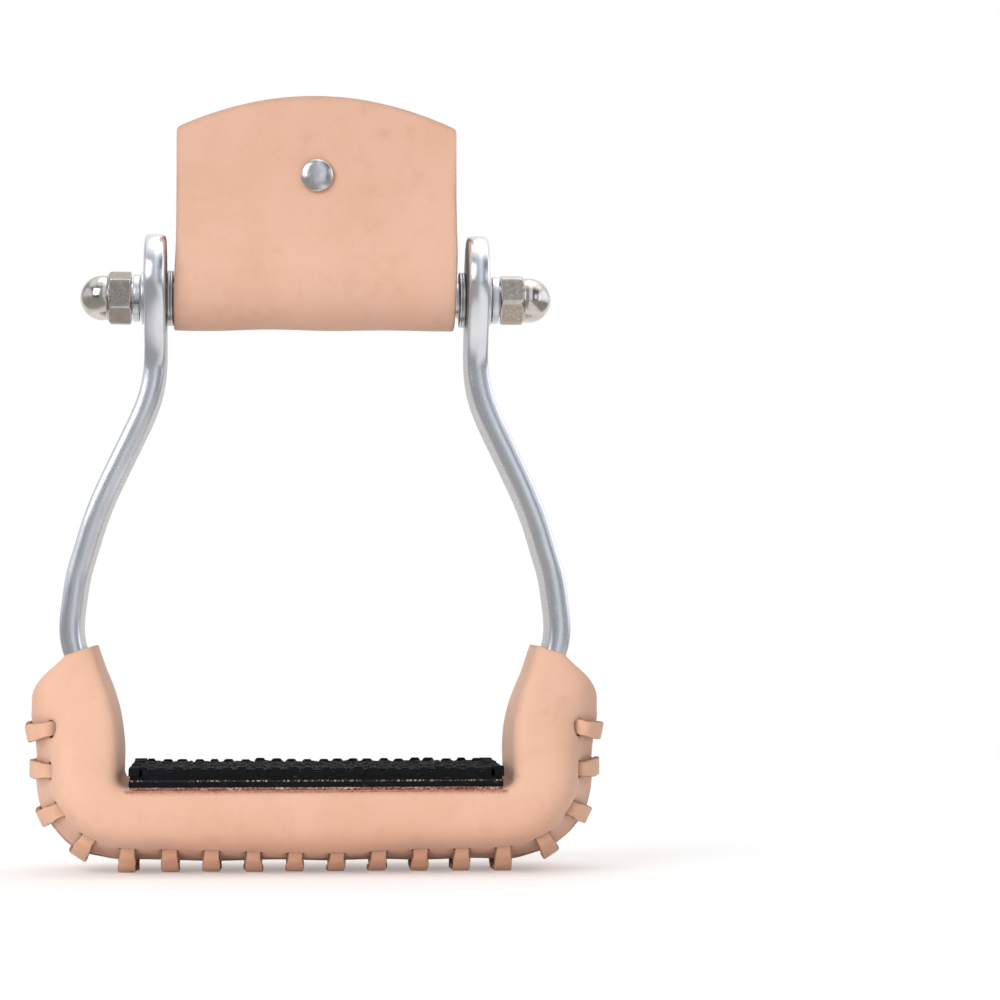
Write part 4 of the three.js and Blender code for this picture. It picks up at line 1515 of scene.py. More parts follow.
    def make(self) -> bpy.types.Object:
        """Builds the cover.

        Returns:
            The object, which stands for the cover's node.
        """
        points, marks = self.grid()
        out = self.sheet(points).normals
        place = np.abs(marks)[:, None]
        away = np.abs(points[..., 2] - points[len(points) // 2, points.shape[1] // 2, 2])
        waves = self.wave_high * ripple(points, self.wave_long, 5) * smooth_step(4, 12, away)
        waves = waves * smooth_step(3, 2.7, place)
        heel = np.exp(-((place - 2.0) / 0.38) ** 2) * (away < 60)
        inward = np.clip(-out[..., 0] * np.sign(marks)[:, None] + 0.2, 0, 1)
        cover = self.sheet(points + out * waves[..., None]).build("cover_leather", heel * inward)
        dress(cover, self.leather, Body.STIRRUP, "foot_cover")
        return cover


@dataclass
class FootLace:
    """Flat leather thong that crosses the outside of the cover from hole to hole."""

    cover: FootCover
    leather: bpy.types.Material
    wide: float = 5.2
    thick: float = 1.75
    throat_share: float = 0.84
    tail: float = 7.0
    side_hug: float = 0.75
    edge_round: float = 0.42
    ragged: float = 0.12
    fine_steps: int = 7
    cross_shares: tuple = (0.86, 0.72, 0.43, 0.2)
    rise_shares: tuple = (0.25, 0.6, 1.0, 1.0)

    def grain_outward(self, mark: float, y: float) -> float:
        """Height of the cover's grain side over the bar's middle.

        Args:
            mark: Place of the run.
            y: Distance from the middle.

        Returns:
            The height.
        """
        line = self.cover.run.section_at(mark)
        far = int(np.argmax(line[:, 1]))
        return float(np.interp(-y, -line[far:, 1], line[far:, 0]))

    def crossing(self, mark: float, skew: float, lift: float) -> list[tuple[np.ndarray, np.ndarray, float]]:
        """Route of one strap: up through the front hole, over, and down the back hole.

        Args:
            mark: Place of the run.
            skew: How far the strap leans along the run, in millimetres.
            lift: How far its middle stands up further.

        Returns:
            Point, direction of the width, and width, for each step.
        """
        run = self.cover.run
        _, _, nx, nz = run.line(np.array(mark))
        along = np.array([-nz, 0, nx])
        sizes = run.sizes(np.array(abs(mark)))
        reach, bulge, arch = float(sizes["reach"]), float(sizes["bulge"]), float(sizes["arch"])
        over, under = run.seat + self.thick / 2, run.cover_skin + run.seat + self.thick / 2
        hug = self.side_hug * smooth_step(1.0, 1.5, abs(mark))
        crest = bulge + arch + self.thick / 2 + lift - hug
        pulled = 1 - 0.5 * smooth_step(1.05, 1.3, abs(mark)) * smooth_step(2.2, 1.9, abs(mark))
        throat = self.wide * self.throat_share

        halves = {}
        for sign in (-1, 1):
            point, face, across = self.cover.hole_spot(mark, sign)
            lean = along * skew * sign
            mouth = point + across * 0.35
            steps = [(point - face * under, along, throat), (mouth + face * (over - 0.5), along, throat)]
            for share, rise in zip(self.cross_shares, self.rise_shares):
                low = self.grain_outward(mark, share * reach) + over
                outward = low + (max(crest, low) - low) * (rise * pulled if share > 0.3 else rise)
                spot = run.at(np.array(mark), np.array(outward), np.array(sign * share * reach))
                steps.append((spot + lean * (1 - share), along, self.wide))
            halves[sign] = steps
        return halves[-1] + halves[1][::-1]

    def route(self) -> list[tuple[np.ndarray, np.ndarray, float]]:
        """The whole way of the thong, from left to right, with both ends tucked inside.

        Returns:
            Point, direction of the width, and width, for each step.
        """
        draw = np.random.default_rng(11)
        marks = [-place for place in self.cover.hole_marks[::-1]] + self.cover.hole_marks
        steps = []
        for mark in marks:
            steps += self.crossing(mark, float(draw.uniform(-0.7, 0.7)), float(draw.uniform(-0.15, 0.15)))
        tails = []
        for spot, along, wide in (steps[0], steps[-1]):
            tails.append((spot + np.array([0, -np.sign(spot[1]) * self.tail, 0]), along, wide))
        return [tails[0], *steps, tails[1]]

    def make(self) -> bpy.types.Object:
        """Builds the thong.

        Returns:
            The object, which stands for the lace's node.
        """
        route = self.route()
        centre = through_points(np.array([step[0] for step in route]), self.fine_steps)
        knots = np.arange(len(route))
        spread = np.linspace(0, len(route) - 1, len(centre))
        widths = np.interp(spread, knots, [step[2] for step in route])
        ways = np.array([step[1] for step in route])
        alongs = np.stack([np.interp(spread, knots, column) for column in ways.T], axis=-1)
        track = Track(centre)
        way = track.ways
        across = alongs - way * np.sum(alongs * way, axis=1, keepdims=True)
        across /= np.linalg.norm(across, axis=1, keepdims=True)
        through = np.cross(way, across)
        draw = np.random.default_rng(23)
        ragged = np.convolve(draw.normal(size=len(centre) + 4), np.ones(5) / 5, mode="valid")
        half_t, r = self.thick / 2, self.edge_round
        shape = [
            (sx, math.cos(angle) * r, sy * (half_t - r) + math.sin(angle) * r)
            for sx, sy, first in ((1, 1, 0), (-1, 1, 90), (-1, -1, 180), (1, -1, 270))
            for angle in np.radians(first + np.array([0, 30, 60, 90]))
        ]
        rings = []
        for k in range(len(centre)):
            wide = widths[k] / 2 - r + self.ragged * ragged[k]
            rings.append([centre[k] + across[k] * (sx * wide + dx) + through[k] * dz for sx, dx, dz in shape])
        grid = np.array(rings)
        count, sides, _ = grid.shape
        facing = np.radians([15, 45, 75, 90, 105, 135, 165, 180, 195, 225, 255, 270, 285, 315, 345, 0])
        on_cut = smooth_step(0.55, 0.85, np.abs(np.cos(facing)))
        on_flesh = smooth_step(0.6, 0.8, -np.sin(facing))
        face_marks = {
            "cut": np.concatenate([np.tile(on_cut, count - 1), [1.0, 1.0]]),
            "flesh": np.concatenate([np.tile(on_flesh, count - 1), [0.0, 0.0]]),
        }
        edge = np.tile([1.0 if k % 8 in (0, 1, 6, 7) else 0.0 for k in range(sides)], count)
        points = grid.reshape(-1, 3)
        lace = new_piece("lace_thong", points, tube_faces(count, sides), face_marks, {"edge": edge}, 60)
        dress(lace, self.leather, Body.STIRRUP, "foot_lace")
        log.info("lace: %.0f mm long", track.long)
        return lace


@dataclass
class NeckLeather:
    """One wide strap folded under the bolt, both ends standing up with an arched top."""

    leather: bpy.types.Material
    skin: float = 3.6
    wide: float = 84.2
    rise: float = 61.2
    loop_radius: float = 13.9
    loop_rise: float = 4.44
    arch: float = 9.7
    corner: float = 1.6
    slit_half: float = 0.25
    rivet_radius: float = 5.0
    flap_rise: float = 32.0
    round_off: float = 0.55
    part: float = 0.5
    wave_high: float = 0.272
    soft_high: float = 0.1
    dimple_deep: float = 0.3
    belly: float = 0.65
    column_step: float = 1.3
    loop_rows: int = 46
    flap_rows: int = 22
    side_shares: tuple = (
        (1, 0.017), (0.98, 0.15), (0.885, 0.26), (0.73, 0.394), (0.515, 0.594), (0.365, 0.8), (0.3, 0.92),
    )

    @cached_property
    def path(self) -> Track:
        """Outside of the back half of the fold, from under the bolt to past the top."""
        r, low = self.loop_radius, self.loop_rise
        points = [(r * math.sin(a), low - r * math.cos(a)) for a in np.linspace(0, math.pi / 2, 9)]
        points += [(wide * r, low + (self.flap_rise - low) * up) for wide, up in self.side_shares]
        points += [(self.skin + self.slit_half, self.flap_rise + up) for up in (0, 3, 6, 12, 20, 32)]
        points.insert(0, (-points[1][0], points[1][1]))
        return Track(through_points(np.array(points), 14)[14:])

    def top(self, x: np.ndarray) -> np.ndarray:
        """Height of the top edge over the bolt, across the width.

        Args:
            x: Distances from the middle.

        Returns:
            The heights.
        """
        half, low = self.wide / 2, self.rise - self.arch
        t = np.linspace(0, 1, 200)
        ends, peak = low + self.corner / 3, self.rise + self.arch - self.corner / 3
        arch_x = (1 - t) ** 2 * (half - self.corner) + t ** 2 * (self.corner - half)
        arch_z = ((1 - t) ** 2 + t ** 2) * ends + 2 * t * (1 - t) * peak
        cx = (1 - t) ** 2 * half + 2 * t * (1 - t) * half + t ** 2 * (half - self.corner)
        cz = (1 - t) ** 2 * (low - self.corner) + 2 * t * (1 - t) * low + t ** 2 * ends
        xs = np.concatenate([cx, arch_x[1:100]])[::-1]
        zs = np.concatenate([cz, arch_z[1:100]])[::-1]
        return np.interp(np.abs(x), xs, zs)

    def grid(self) -> np.ndarray:
        """Points of the grain side, from the front flap's top round the fold to the back's."""
        x = spaced(self.wide, self.column_step, self.round_off) - self.wide / 2
        track = self.path
        flat_from = float(np.interp(self.flap_rise, track.points[200:, 1], track.gone[200:]))
        ends = flat_from + self.top(x) - self.flap_rise
        low = np.linspace(0, flat_from, self.loop_rows)
        share = np.linspace(0, 1, self.flap_rows)[1:-1]
        near = self.round_off * EDGE_STEPS[::-1]
        columns = []
        for end in ends:
            high = flat_from + (end - self.round_off - flat_from) * share
            columns.append(np.concatenate([low, high, end - near]))
        distance = np.array(columns).T
        half = track.at(distance)
        back = np.stack([np.broadcast_to(x, distance.shape), half[..., 0], half[..., 1]], axis=-1)
        front = back[:0:-1] * np.array([1, -1, 1])
        return np.concatenate([front, back])

    def sheet(self, grain: np.ndarray) -> Hide:
        """The strap on a grid of its grain side."""
        return Hide(grain, self.skin, self.round_off)

    def make(self) -> bpy.types.Object:
        """Builds the strap.

        Returns:
            The object, which stands for the neck leather's node.
        """
        grid = self.grid()
        out = self.sheet(grid).normals
        off = np.hypot(grid[..., 0], grid[..., 2] - RIVET_RISE)
        dimple = self.dimple_deep * np.exp(-np.maximum(off - self.rivet_radius, 0) / 3.2)
        upper = smooth_step(self.flap_rise - 6, self.flap_rise + 8, grid[..., 2])
        wave = self.wave_high * ripple(grid, 46, 3) * (1 - upper)
        soft = self.soft_high * (ripple(grid, 34, 9) - 0.5)
        moved = grid + out * (wave + (soft - dimple) * upper)[..., None]
        moved[..., 0] -= self.belly * smooth_step(18, -6, grid[..., 2])
        side = smooth_step(0.62, 1.0, np.abs(grid[..., 0]) / (self.wide / 2))
        moved[..., 1] += np.sign(grid[..., 1]) * self.part * side * smooth_step(14, 30, grid[..., 2])
        strap = self.sheet(moved + BOLT_AXIS).build("neck_strap", 0.35 * (1 - upper))
        dress(strap, self.leather, Body.NECK, "neck_leather")
        return strap


# Hardware


@dataclass
class BoltHardware:
    """Bolt, sleeve, washers and cap nuts along the X axis through both ears."""

    inner_at: tuple = (43.0, 44.7)
    inner_radius: float = 8.35
    flat_at: tuple = (51.65, 52.55)
    flat_radius: float = 7.9
    lock_at: tuple = (52.85, 55.05)
    lock_radius: float = 7.1
    lock_split: float = 12.0
    nut_at: float = 55.35
    nut_flats: float = 14.29
    nut_hex_long: float = 7.2
    nut_dome: float = 6.75
    nut_neck: float = 1.6
    nut_cut: float = 1.1
    nut_bore_deep: float = 12.3
    nut_sides: int = 144
    corner_power: int = 46
    washer_sides: int = 72
    inner_groove: float = 0.22
    lock_spring: float = 0.24
    lock_share: float = 0.88
    turns: dict = field(default_factory=lambda: {Side.LEFT: 6.6, Side.RIGHT: 21.0})
    splits: dict = field(default_factory=lambda: {Side.LEFT: -0.23, Side.RIGHT: math.pi})

    def place(self, points: np.ndarray, side: Side) -> np.ndarray:
        """Points of a piece made at the origin, at its side of the bolt.

        Args:
            points: Rows of X, Y and Z with X outward.
            side: Which end.

        Returns:
            The placed points.
        """
        return points * np.array([side.value, 1, 1]) + BOLT_AXIS

    def washer(
        self, name: str, at: tuple, radius: float, side: Side, metal: bpy.types.Material, node: str,
        groove: float = 0,
    ) -> None:
        """Makes a plain washer.

        Args:
            name: Name of the piece.
            at: Inner and outer distance from the middle.
            radius: Outer radius.
            side: Which end.
            metal: Its material.
            node: The node that it stands for.
            groove: Depth of the line round its rim.
        """
        low, high = at
        middle = (low + high) / 2
        line = [(radius, middle - 0.12), (radius - groove, middle), (radius, middle + 0.12)] if groove else []
        corners = [(BOLT_BORE, low), (radius, low), *line, (radius, high), (BOLT_BORE, high)]
        points, faces = turned(rounded_loop(corners, 0.25 if groove else 0.3, 3), self.washer_sides)
        piece = new_piece(name, self.place(points, side), faces, sharp=40)
        dress(piece, metal, Body.STIRRUP, node)

    def lock_washer(self, side: Side, metal: bpy.types.Material) -> None:
        """Makes a split spring washer whose ends stand a little apart.

        Args:
            side: Which end.
            metal: Its material.
        """
        low, high = self.lock_at
        middle, radius = (low + high) / 2, self.lock_radius
        half = math.radians(self.lock_split) / 2
        share = np.arange(self.washer_sides + 1) / self.washer_sides
        angles = (self.splits[side] + half + (2 * math.pi - 2 * half) * share)[:, None]
        corners = [(BOLT_BORE, low), (radius, low), (radius, high), (BOLT_BORE, high)]
        loop = rounded_loop(corners, 0.25, 3)[:-1]
        x = (loop[:, 1] - middle) * self.lock_share + middle + self.lock_spring * (share - 0.5)[:, None]
        grid = np.stack([x, -loop[:, 0] * np.cos(angles), loop[:, 0] * np.sin(angles)], axis=-1)
        points = self.place(grid.reshape(-1, 3), side)
        piece = new_piece(f"spring_washer_{side.word}", points, tube_faces(len(share), len(loop)), sharp=40)
        dress(piece, metal, Body.STIRRUP, f"lock_washer_{side.word}")

    def nut(self, side: Side, metal: bpy.types.Material) -> None:
        """Makes a cap nut: turned-off hexagon under a polished dome, bored from its open side.

        Args:
            side: Which end.
            metal: Its material.
        """
        flat = self.nut_flats / 2
        corner = flat / math.cos(math.pi / 6)
        sides = self.nut_sides
        angles = 2 * math.pi * np.arange(sides) / sides
        facing = angles - math.radians(90 + self.turns[side]) - math.pi / 6
        sharp = self.corner_power
        power = sum(np.abs(np.cos(facing - k * math.pi / 3)) ** sharp for k in range(6))
        hexagon = flat / power ** (1 / sharp)
        hexagon *= flat / hexagon.min()
        hexagon = np.minimum(hexagon, corner * 0.985)
        long, cut, dome, bore = self.nut_hex_long, self.nut_cut, self.nut_dome, BOLT_BORE
        rows: list[tuple[Any, float]] = [(0.0, self.nut_bore_deep), (bore, self.nut_bore_deep), (bore, 0.0)]
        rows.append((flat * 0.8, 0.0))
        for share in np.linspace(0, 1, 7):
            reach = flat * 0.985 + (corner - flat * 0.985) * share
            rows.append((np.minimum(hexagon, reach), cut / 2 * share))
        rows += [(hexagon, cut / 2 + 0.2), (hexagon, long - cut - 0.3)]
        for share in np.linspace(1, 0, 10):
            reach = flat * 0.95 + (corner - flat * 0.95) * share
            rows.append((np.minimum(hexagon, reach), long - cut * share ** 1.3))
        rows += [(dome + 0.05, long + 0.02), (dome - 0.12, long + 0.35), (dome - 0.05, long + 0.7)]
        for angle in np.linspace(0, math.pi / 2, 17):
            rows.append((dome * math.cos(angle), long + self.nut_neck + dome * math.sin(angle)))
        y, z = -np.cos(angles), np.sin(angles)
        points = np.concatenate([
            np.stack([np.full(sides, x + self.nut_at), radius * y, radius * z], axis=-1) for radius, x in rows
        ])
        # The middles of the hexagon's faces are painted darker: partly wear, partly painted dark reflection.
        facet = smooth_step(0.95, 0.6, (hexagon - flat) / (hexagon.max() - flat))
        shares = [1.0 if 9 < k < 18 else 0.3 if 4 < k < 24 else 0.0 for k in range(len(rows))]
        worn = np.concatenate([facet * share for share in shares])
        faces, placed = band_faces(len(rows), sides), self.place(points, side)
        piece = new_piece(f"domed_nut_{side.word}", placed, faces, None, {"worn": worn}, 24)
        dress(piece, metal, Body.STIRRUP, f"cap_nut_{side.word}")

    def make(self) -> None:
        """Builds every piece on the bolt."""
        zinc = PlatedMetal(
            "bright_zinc", bright=(0.72, 0.73, 0.74), dull=(0.52, 0.53, 0.54), rubbed=(0.5, 0.5, 0.5),
            rough=0.24, ripple_high=0.03, lines=0.8,
        ).material()
        # The nickel's rubbed colour paints the dark reflections of the nut's faces as well as wear.
        nickel = PlatedMetal(
            "nickel_plate", bright=(0.66, 0.62, 0.57), dull=(0.42, 0.36, 0.31), rubbed=(0.32, 0.26, 0.21),
            rough=0.045, ripple_high=0.012,
        ).material()
        inner, flat = (self.inner_at, self.inner_radius), (self.flat_at, self.flat_radius)
        for side in Side:
            word = side.word
            self.washer(f"neck_washer_{word}", *inner, side, zinc, f"inner_washer_{word}", self.inner_groove)
            self.washer(f"arm_washer_{word}", *flat, side, zinc, f"flat_washer_{word}")
            self.lock_washer(side, zinc)
            self.nut(side, nickel)
        for node in ("bolt_stud", "spacer_sleeve"):
            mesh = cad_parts[node].data
            mesh.materials.clear()
            mesh.materials.append(zinc)


@dataclass
class NeckRivet:
    """Tubular rivet through both ends of the neck leather: a cap in front and one behind."""

    seat_y: float = 4.15
    radius: float = 5.0
    high: float = 1.9
    rim: float = 0.6
    post_radius: float = 1.6
    post_short: float = 0.9
    sides: int = 72

    def cap(self, name: str, node: str, sign: int, post: bool, metal: bpy.types.Material, seed: int) -> None:
        """Makes one cap.

        Args:
            name: Name of the piece.
            node: The node that it stands for.
            sign: -1 in front and 1 behind.
            post: Whether it has the post.
            metal: Its material.
            seed: Seed of its small dents.
        """
        if post:
            deep, thin = -(2 * self.seat_y + self.post_short), self.post_radius
            profile = [(0, deep), (thin - 0.2, deep), (thin, deep + 0.2), (thin, 0)]
        else:
            deep, bore = self.post_short + 0.3, self.post_radius + 0.3
            profile = [(0, deep), (bore, deep), (bore, 0)]
        profile += [(self.radius - 0.35, 0), (self.radius - 0.08, 0.12), (self.radius, 0.35)]
        for angle in np.linspace(0.12, math.pi / 2, 16):
            level = math.cos(angle) ** 0.8 if angle < math.pi / 2 - 1e-6 else 0
            profile.append((self.radius * level, self.rim + (self.high - self.rim) * math.sin(angle)))
        rows = np.array(profile)
        radius, along = rows[:, :1], rows[:, 1:]
        angles = 2 * math.pi * np.arange(self.sides) / self.sides
        grid = np.stack([radius * np.cos(angles), along + 0 * angles, radius * np.sin(angles)], axis=-1)
        grid = grid.reshape(-1, 3)
        grid[:, 1] += np.where(grid[:, 1] > self.rim, 0.05 * ripple(grid, 6, seed), 0)
        grid[:, 1] = sign * (grid[:, 1] + self.seat_y)
        grid += BOLT_AXIS + np.array([0, 0, RIVET_RISE])
        piece = new_piece(name, grid, band_faces(len(rows), self.sides), sharp=35)
        dress(piece, metal, Body.NECK, node)

    def make(self) -> None:
        """Builds both caps."""
        metal = PlatedMetal(
            "rivet_nickel", bright=(0.7, 0.68, 0.67), dull=(0.45, 0.43, 0.42), rubbed=(0.4, 0.38, 0.37),
            rough=0.16, ripple_high=0.03,
        ).material()
        self.cap("rivet_cap_front", "rivet_front", -1, True, metal, 4)
        self.cap("rivet_cap_back", "rivet_back", 1, False, metal, 6)


# Tread


@dataclass
class TreadSheet:
    """Rough-top rubber belting on the foot: backing, woven ply and a top full of short ridges."""

    half: float = 55.025
    half_depth: float = 28.3
    base_z: float = 26.375
    backing: float = 1.6
    ply: float = 0.5
    rubber: float = 2.4
    ridge_high: float = 1.3
    ridge_spacing: float = 1.45
    ridge_density: float = 9e5
    ridge_inset: float = 1.9
    edge_pitch: float = 4.75
    cleft: float = 0.3
    corner: float = 0.8
    glue_step: float = 0.8
    glue_sides: int = 8
    nub_wide: tuple = (3.3, 4.1)
    nub_deep: tuple = (2.2, 4.2)
    nub_high: tuple = (0.85, 1.2)
    nub_foot: tuple = (0.9, 1.5)
    nub_stray: float = 0.12
    nub_lean: float = 0.5
    nub_shares: tuple = (1.05, 0.8, 0.52)
    end_shares: tuple = (1.0, 0.98, 0.9)
    ridge_kinds: tuple = (
        ("ridge_long", 3.6, 1.5, 0.7, 0.55), ("ridge_bent", 2.9, 1.4, 0.6, -0.7),
        ("ridge_short", 2.1, 1.6, 0.75, 0.2),
    )

    @property
    def top_z(self) -> float:
        """Height of the rubber between its ridges."""
        return self.base_z + self.backing + self.ply + self.rubber

    def rim(self, half_x: float, half_y: float, corner: float, step: float) -> tuple[np.ndarray, np.ndarray]:
        """Even points round a rectangle with rounded corners.

        Args:
            half_x: Its half length.
            half_y: Its half depth.
            corner: Radius of the corners.
            step: Spacing of the points.

        Returns:
            The points in X and Y, and the direction at each.
        """
        track = Track(rounded_loop(oblong(half_x, half_y), corner))
        gone = np.linspace(0, track.long, int(track.long / step), endpoint=False)
        return track.at(gone), track.way(gone)

    def slab(
        self, name: str, low: float, high: float, inset: float, seed: int, step: float = 1.1
    ) -> bpy.types.Object:
        """A slab of the sheet with slightly ragged cut sides.

        Args:
            name: Name of the piece.
            low: Height of its underside.
            high: Height of its top.
            inset: How far its sides stand back.
            seed: Seed of the raggedness.
            step: Spacing of the points round it.

        Returns:
            The object, without a material.
        """
        ring, _ = self.rim(self.half - inset, self.half_depth - inset, self.corner, step)
        levels = np.array([0, 0.12, 0.5, 0.88, 1]) * (high - low)
        inward = np.array([0.18, 0, 0, 0, 0.16])
        rings = []
        for level, tuck in zip(levels, inward):
            spot = np.column_stack([ring, np.full(len(ring), low + level)])
            shift = 1 - (tuck + 0.1 * (1 + ripple(spot, 3.5, seed))) / (self.half - inset)
            rings.append(np.column_stack([ring[:, 0] * shift, ring[:, 1] * shift, spot[:, 2]]))
        faces = tube_faces(len(rings), len(ring))
        cut = np.ones(len(faces))
        cut[-2:] = 0
        return new_piece(name, np.concatenate(rings), faces, {"cut": cut}, None, 40)

    def crumb(self, name: str, long: float, wide: float, high: float, bend: float) -> bpy.types.Object:
        """A short moulded ridge with a bent back, made of few faces.

        Args:
            name: Name of the template.
            long: Its length.
            wide: Its width.
            high: Its height.
            bend: How far its middle bows sideways.

        Returns:
            The template object.
        """
        rings = []
        for share in (-1, -0.72, 0, 0.72, 1):
            w = wide / 2 * (0.45 if abs(share) == 1 else 1.0)
            y = bend * (1 - share * share)
            top = high * (0.72 if abs(share) == 1 else 1.0)
            profile = ((-w, -0.3), (-w * 0.72, top * 0.8), (0, top), (w * 0.72, top * 0.8), (w, -0.3))
            rings.append([(share * long / 2, y + aside, z) for aside, z in profile])
        return new_piece(name, np.array(rings).reshape(-1, 3), tube_faces(5, 5), sharp=50)

    def scatter_tree(
        self, templates: Sequence[bpy.types.Object], rubber: bpy.types.Material
    ) -> tuple[bpy.types.NodeTree, dict[str, str]]:
        """Geometry nodes that cover a sheet with ridges.

        Args:
            templates: The ridges to choose from.
            rubber: Their material.

        Returns:
            The node tree, and the socket identifiers of its sizes.
        """
        tree = bpy.data.node_groups.new("rough_top", "GeometryNodeTree")
        add, link, face = tree.nodes.new, tree.links.new, tree.interface
        face.new_socket("Geometry", in_out="INPUT", socket_type="NodeSocketGeometry")
        sockets = {}
        for label in ("Ridge spacing", "Ridge density"):
            sockets[label] = face.new_socket(label, in_out="INPUT", socket_type="NodeSocketFloat").identifier
        face.new_socket("Geometry", in_out="OUTPUT", socket_type="NodeSocketGeometry")
        start, end = add("NodeGroupInput"), add("NodeGroupOutput")
        spread = add("GeometryNodeDistributePointsOnFaces")
        spread.distribute_method = "POISSON"
        spread.inputs["Seed"].default_value = 7
        wires = {"Geometry": "Mesh", "Ridge spacing": "Distance Min", "Ridge density": "Density Max"}
        for source, target in wires.items():
            link(start.outputs[source], spread.inputs[target])
        join = add("GeometryNodeJoinGeometry")
        for template in templates:
            info = add("GeometryNodeObjectInfo")
            info.inputs["Object"].default_value = template
            info.inputs["As Instance"].default_value = True
            link(info.outputs["Geometry"], join.inputs["Geometry"])
        instance = add("GeometryNodeInstanceOnPoints")
        instance.inputs["Pick Instance"].default_value = True
        link(spread.outputs["Points"], instance.inputs["Points"])
        link(join.outputs["Geometry"], instance.inputs["Instance"])
        draws = (
            ("Instance Index", "INT", 0, len(templates) - 1, 3),
            ("Rotation", "FLOAT_VECTOR", (-0.12, -0.1, 0), (0.12, 0.1, 2 * math.pi), 5),
            ("Scale", "FLOAT_VECTOR", (0.75, 0.8, 0.6), (1.15, 1.1, 1.0), 9),
        )
        for target, kind, low, high, seed in draws:
            draw = add("FunctionNodeRandomValue")
            draw.data_type = kind
            ends = [socket for socket in draw.inputs if socket.enabled and socket.name in ("Min", "Max")]
            ends[0].default_value, ends[1].default_value = low, high
            draw.inputs["Seed"].default_value = seed
            link(next(socket for socket in draw.outputs if socket.enabled), instance.inputs[target])
        real, finish = add("GeometryNodeRealizeInstances"), add("GeometryNodeSetMaterial")
        finish.inputs["Material"].default_value = rubber
        link(instance.outputs["Instances"], real.inputs["Geometry"])
        link(real.outputs["Geometry"], finish.inputs["Geometry"])
        link(finish.outputs["Geometry"], end.inputs["Geometry"])
        return tree, sockets

    def ridges(self, rubber: bpy.types.Material) -> bpy.types.Object:
        """The rough top: short bent ridges strewn over the sheet.

        Args:
            rubber: Their material.

        Returns:
            The object.
        """
        bed_corners = oblong(self.half - self.ridge_inset, self.half_depth - self.ridge_inset)
        bed = new_piece("belt_ridges", np.array([(x, y, self.top_z) for x, y in bed_corners]), [(0, 1, 2, 3)])
        templates = [
            self.crumb(name, long, wide, self.ridge_high * high, bend)
            for name, long, wide, high, bend in self.ridge_kinds
        ]
        modifier = bed.modifiers.new("rough_top", "NODES")
        modifier.node_group, sockets = self.scatter_tree(templates, rubber)
        modifier[sockets["Ridge spacing"]] = self.ridge_spacing * MM
        modifier[sockets["Ridge density"]] = self.ridge_density
        finish_modifiers(bed, 50)
        for template in templates:
            bpy.data.objects.remove(template)
        return bed

    def edge_nubs(self) -> tuple[np.ndarray, list]:
        """Cut ridges along the four sides of the sheet.

        Returns:
            Points and faces.
        """
        draw = np.random.default_rng(31)
        points: list = []
        faces: list = []
        long_side, short_side = 2 * self.half, 2 * self.half_depth
        ways = (((1, 0), (0, 1)), ((0, 1), (-1, 0)), ((-1, 0), (0, -1)), ((0, -1), (1, 0)))
        corners = oblong(self.half, self.half_depth)
        for (x0, y0), ((ux, uy), (vx, vy)), long in zip(corners, ways, (long_side, short_side) * 2):
            count = int(long / self.edge_pitch)
            for k in range(count + 1):
                at_end = k in (0, count)
                wide, deep = draw.uniform(*self.nub_wide), draw.uniform(*self.nub_deep)
                middle = (k + draw.uniform(-self.nub_stray, self.nub_stray)) * long / count
                high = self.ridge_high * draw.uniform(*self.nub_high)
                lean = 0 if at_end else draw.uniform(-self.nub_lean, self.nub_lean)
                foot = -draw.uniform(*self.nub_foot)
                first, last = wide / 2, long - wide / 2
                middle = (last if k else first) if at_end else min(max(middle, first), last)
                faces += [tuple(len(points) + corner for corner in face) for face in tube_faces(3, 4)]
                shares = self.end_shares if at_end else self.nub_shares
                for level, share in zip((foot, high * 0.55, high), shares):
                    for a, b in ((-1, 0), (1, 0), (1.15, 1), (-0.85, 1)):
                        along = middle + a * wide / 2 * share + lean * b
                        back = 0.06 + b * deep + (0.22 if level > 0.9 * high and b == 0 else 0)
                        x, y = x0 + ux * along + vx * back, y0 + uy * along + vy * back
                        points.append((x, y, self.top_z + level))
        return np.array(points), faces

    def glue(self) -> bpy.types.Object:
        """A thin uneven bead where the sheet meets the leather.

        Returns:
            The object, without a material.
        """
        hx, hy = self.half - 0.5, self.half_depth - 0.55
        spots, ways = self.rim(hx, hy, 1.2, self.glue_step)
        count, sides = len(spots), self.glue_sides
        out = np.column_stack([ways[:, 1], -ways[:, 0]])
        lift = np.column_stack([spots, np.zeros(count)])
        size = 0.42 + 0.16 * ripple(lift, 5, 17) + 0.1 * ripple(lift, 1.9, 19)
        drop = np.where(np.abs(spots[:, 1]) > hy - 1, 0.75, 0.25)
        rings = []
        for angle in np.linspace(0, 2 * math.pi, sides, endpoint=False):
            flat = spots + out * (size * math.cos(angle))[:, None]
            z = self.base_z - drop / 2 + (drop / 2 + 0.1 + size * 0.3) * math.sin(angle)
            rings.append(np.column_stack([flat, z]))
        grid = np.array(rings).transpose(1, 0, 2)
        grid = np.concatenate([grid, grid[:1]])
        return new_piece("tread_glue", grid.reshape(-1, 3), band_faces(count + 1, sides), sharp=60)

    def make(self) -> None:
        """Builds the sheet."""
        rubber = TreadRubber().material()
        low, middle = self.base_z, self.base_z + self.backing
        upper = middle + self.ply
        backing = self.slab("belt_backing", low, middle, 0.0, 2)
        dress(backing, rubber, Body.STIRRUP, "tread_backing")
        ply = self.slab("belt_ply", middle, upper, 0.12, 3, 0.9)
        dress(ply, CordPly().material(), Body.STIRRUP, "tread_ply")
        body = self.slab("belt_body", upper, upper + self.rubber, self.cleft, 4)
        ridges = self.ridges(rubber)
        points, faces = self.edge_nubs()
        nubs = new_piece("belt_nubs", points, faces, {"cut": np.full(len(faces), 0.5)}, None, 35)
        dress(body, rubber, Body.STIRRUP, "tread_rubber")
        dress(ridges, rubber, Body.STIRRUP)
        dress(nubs, rubber, Body.STIRRUP)
        dress(self.glue(), GlueLine().material(), Body.STIRRUP)


# Studio


